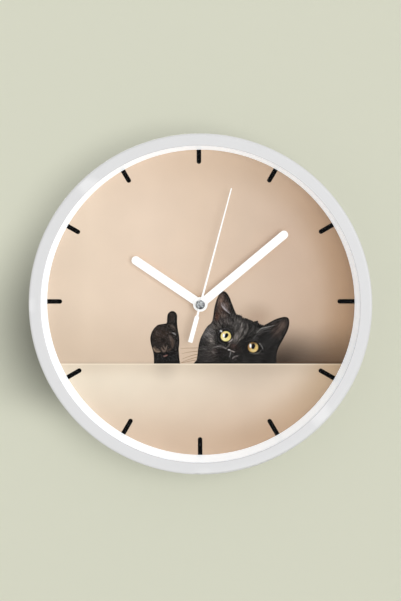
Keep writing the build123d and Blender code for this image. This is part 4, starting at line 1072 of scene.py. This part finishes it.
def wall_material():
    """Painted wall with the clock's soft shadow deepened at its left.

    It is clear to viewers and light behind it, and to light that bounces close to it, so that the
    clock's back is seen and lit.
    """
    s = Shader("wall_paint")
    roller = s.noise(1.8, 4.0, 0.6)
    normal = s.bump(roller, 0.01, 0.15)
    shade = s.glow((-105, -28), (90, 100))
    shade = s.math("MULTIPLY", shade, s.smooth(s.axis("Z"), -104.0, -66.0, 0.0, 0.62))
    colour = s.mix(shade, paint(215, 216, 198), (0, 0, 0, 1))
    solid = s.node("ShaderNodeBsdfDiffuse", {"Color": colour, "Normal": normal})
    clear = s.node("ShaderNodeBsdfTransparent")
    behind = s.node("ShaderNodeNewGeometry").outputs["Backfacing"]
    ray = s.node("ShaderNodeLightPath")
    short = s.math("LESS_THAN", ray.outputs["Ray Length"], NEAR_WALL)
    bounce = s.math("MULTIPLY", s.math("SUBTRACT", 1.0, ray.outputs["Is Camera Ray"]), short)
    hidden = s.math("ADD", behind, ray.outputs["Is Shadow Ray"], True)
    hidden = s.math("MAXIMUM", hidden, bounce)
    return s.output_mix(hidden, solid, clear)


WALL_Y, WALL_W, WALL_TOP = 0.0006, 4.0, 2.0
FLOOR_Z, FLOOR_W = -1.4, 8.0
wall_face = bar(0, (WALL_TOP + FLOOR_Z) / 2, WALL_W, WALL_TOP - FLOOR_Z)
panel("wall", [(x, WALL_Y, z) for x, z in wall_face], wall_material())
floor = Shader("floor_paint")
floor_tone = floor.smooth(floor.noise(3.0, 4.0), 0.3, 0.7, 0.755, 0.765)
floor_paint = floor.surface(Base_Color=floor_tone, Roughness=0.8)
panel("floor", [(x, y, FLOOR_Z) for x, y in bar(0, 0, FLOOR_W, FLOOR_W)], floor_paint)


# -------- light
WORLD_STRENGTH = 0.72
KEY_SIDE, KEY_DROP = math.radians(24), -0.07
world = bpy.data.worlds.new("studio")
bpy.context.scene.world = world
world.use_nodes = True
background = world.node_tree.nodes["Background"]
background.inputs["Color"].default_value = (1, 1, 1, 1)
background.inputs["Strength"].default_value = WORLD_STRENGTH


def sun(name, towards, strength, angle):
    """A distant light that shines along the direction towards, as wide as angle degrees."""
    data = bpy.data.lights.new(name, "SUN")
    data.energy = strength
    data.angle = math.radians(angle)
    piece = bpy.data.objects.new(name, data)
    piece.rotation_mode = "QUATERNION"
    piece.rotation_quaternion = Vector(towards).to_track_quat("-Z", "Y")
    bpy.context.scene.collection.objects.link(piece)


sun("key", (-math.sin(KEY_SIDE), math.cos(KEY_SIDE), KEY_DROP), 1.36, 44)
sun("rear_fill", (0.35, -1.0, -0.45), 1.3, 40)

# -------- camera
AZIMUTH, ELEVATION, ROLL = math.radians(1.8), math.radians(7.0), math.radians(-0.24)
DISTANCE, AIM_UP, AIM_RIGHT = 1.849, 0.0038, 0.00035
camera_data = bpy.data.cameras.new("camera")
camera_data.lens = 150.0
camera_data.sensor_width = 36.0
camera = bpy.data.objects.new("camera", camera_data)
bpy.context.scene.collection.objects.link(camera)
level = math.cos(ELEVATION)
back = Vector((math.sin(AZIMUTH) * level, -math.cos(AZIMUTH) * level, math.sin(ELEVATION)))
right = Vector((math.cos(AZIMUTH), math.sin(AZIMUTH), 0))
up = back.cross(right)
front_centre = Vector((0, -height_of("case_ring") * MM, 0))
aim = front_centre + up * AIM_UP + right * AIM_RIGHT
camera.location = aim + back * DISTANCE
camera.rotation_mode = "QUATERNION"
camera.rotation_quaternion = Quaternion(back, ROLL) @ (-back).to_track_quat("-Z", "Y")
camera_data.clip_start, camera_data.clip_end = 0.05, 50
bpy.context.scene.camera = camera
bpy.context.scene.view_settings.view_transform = "Standard"
bpy.context.scene.view_settings.look = "None"
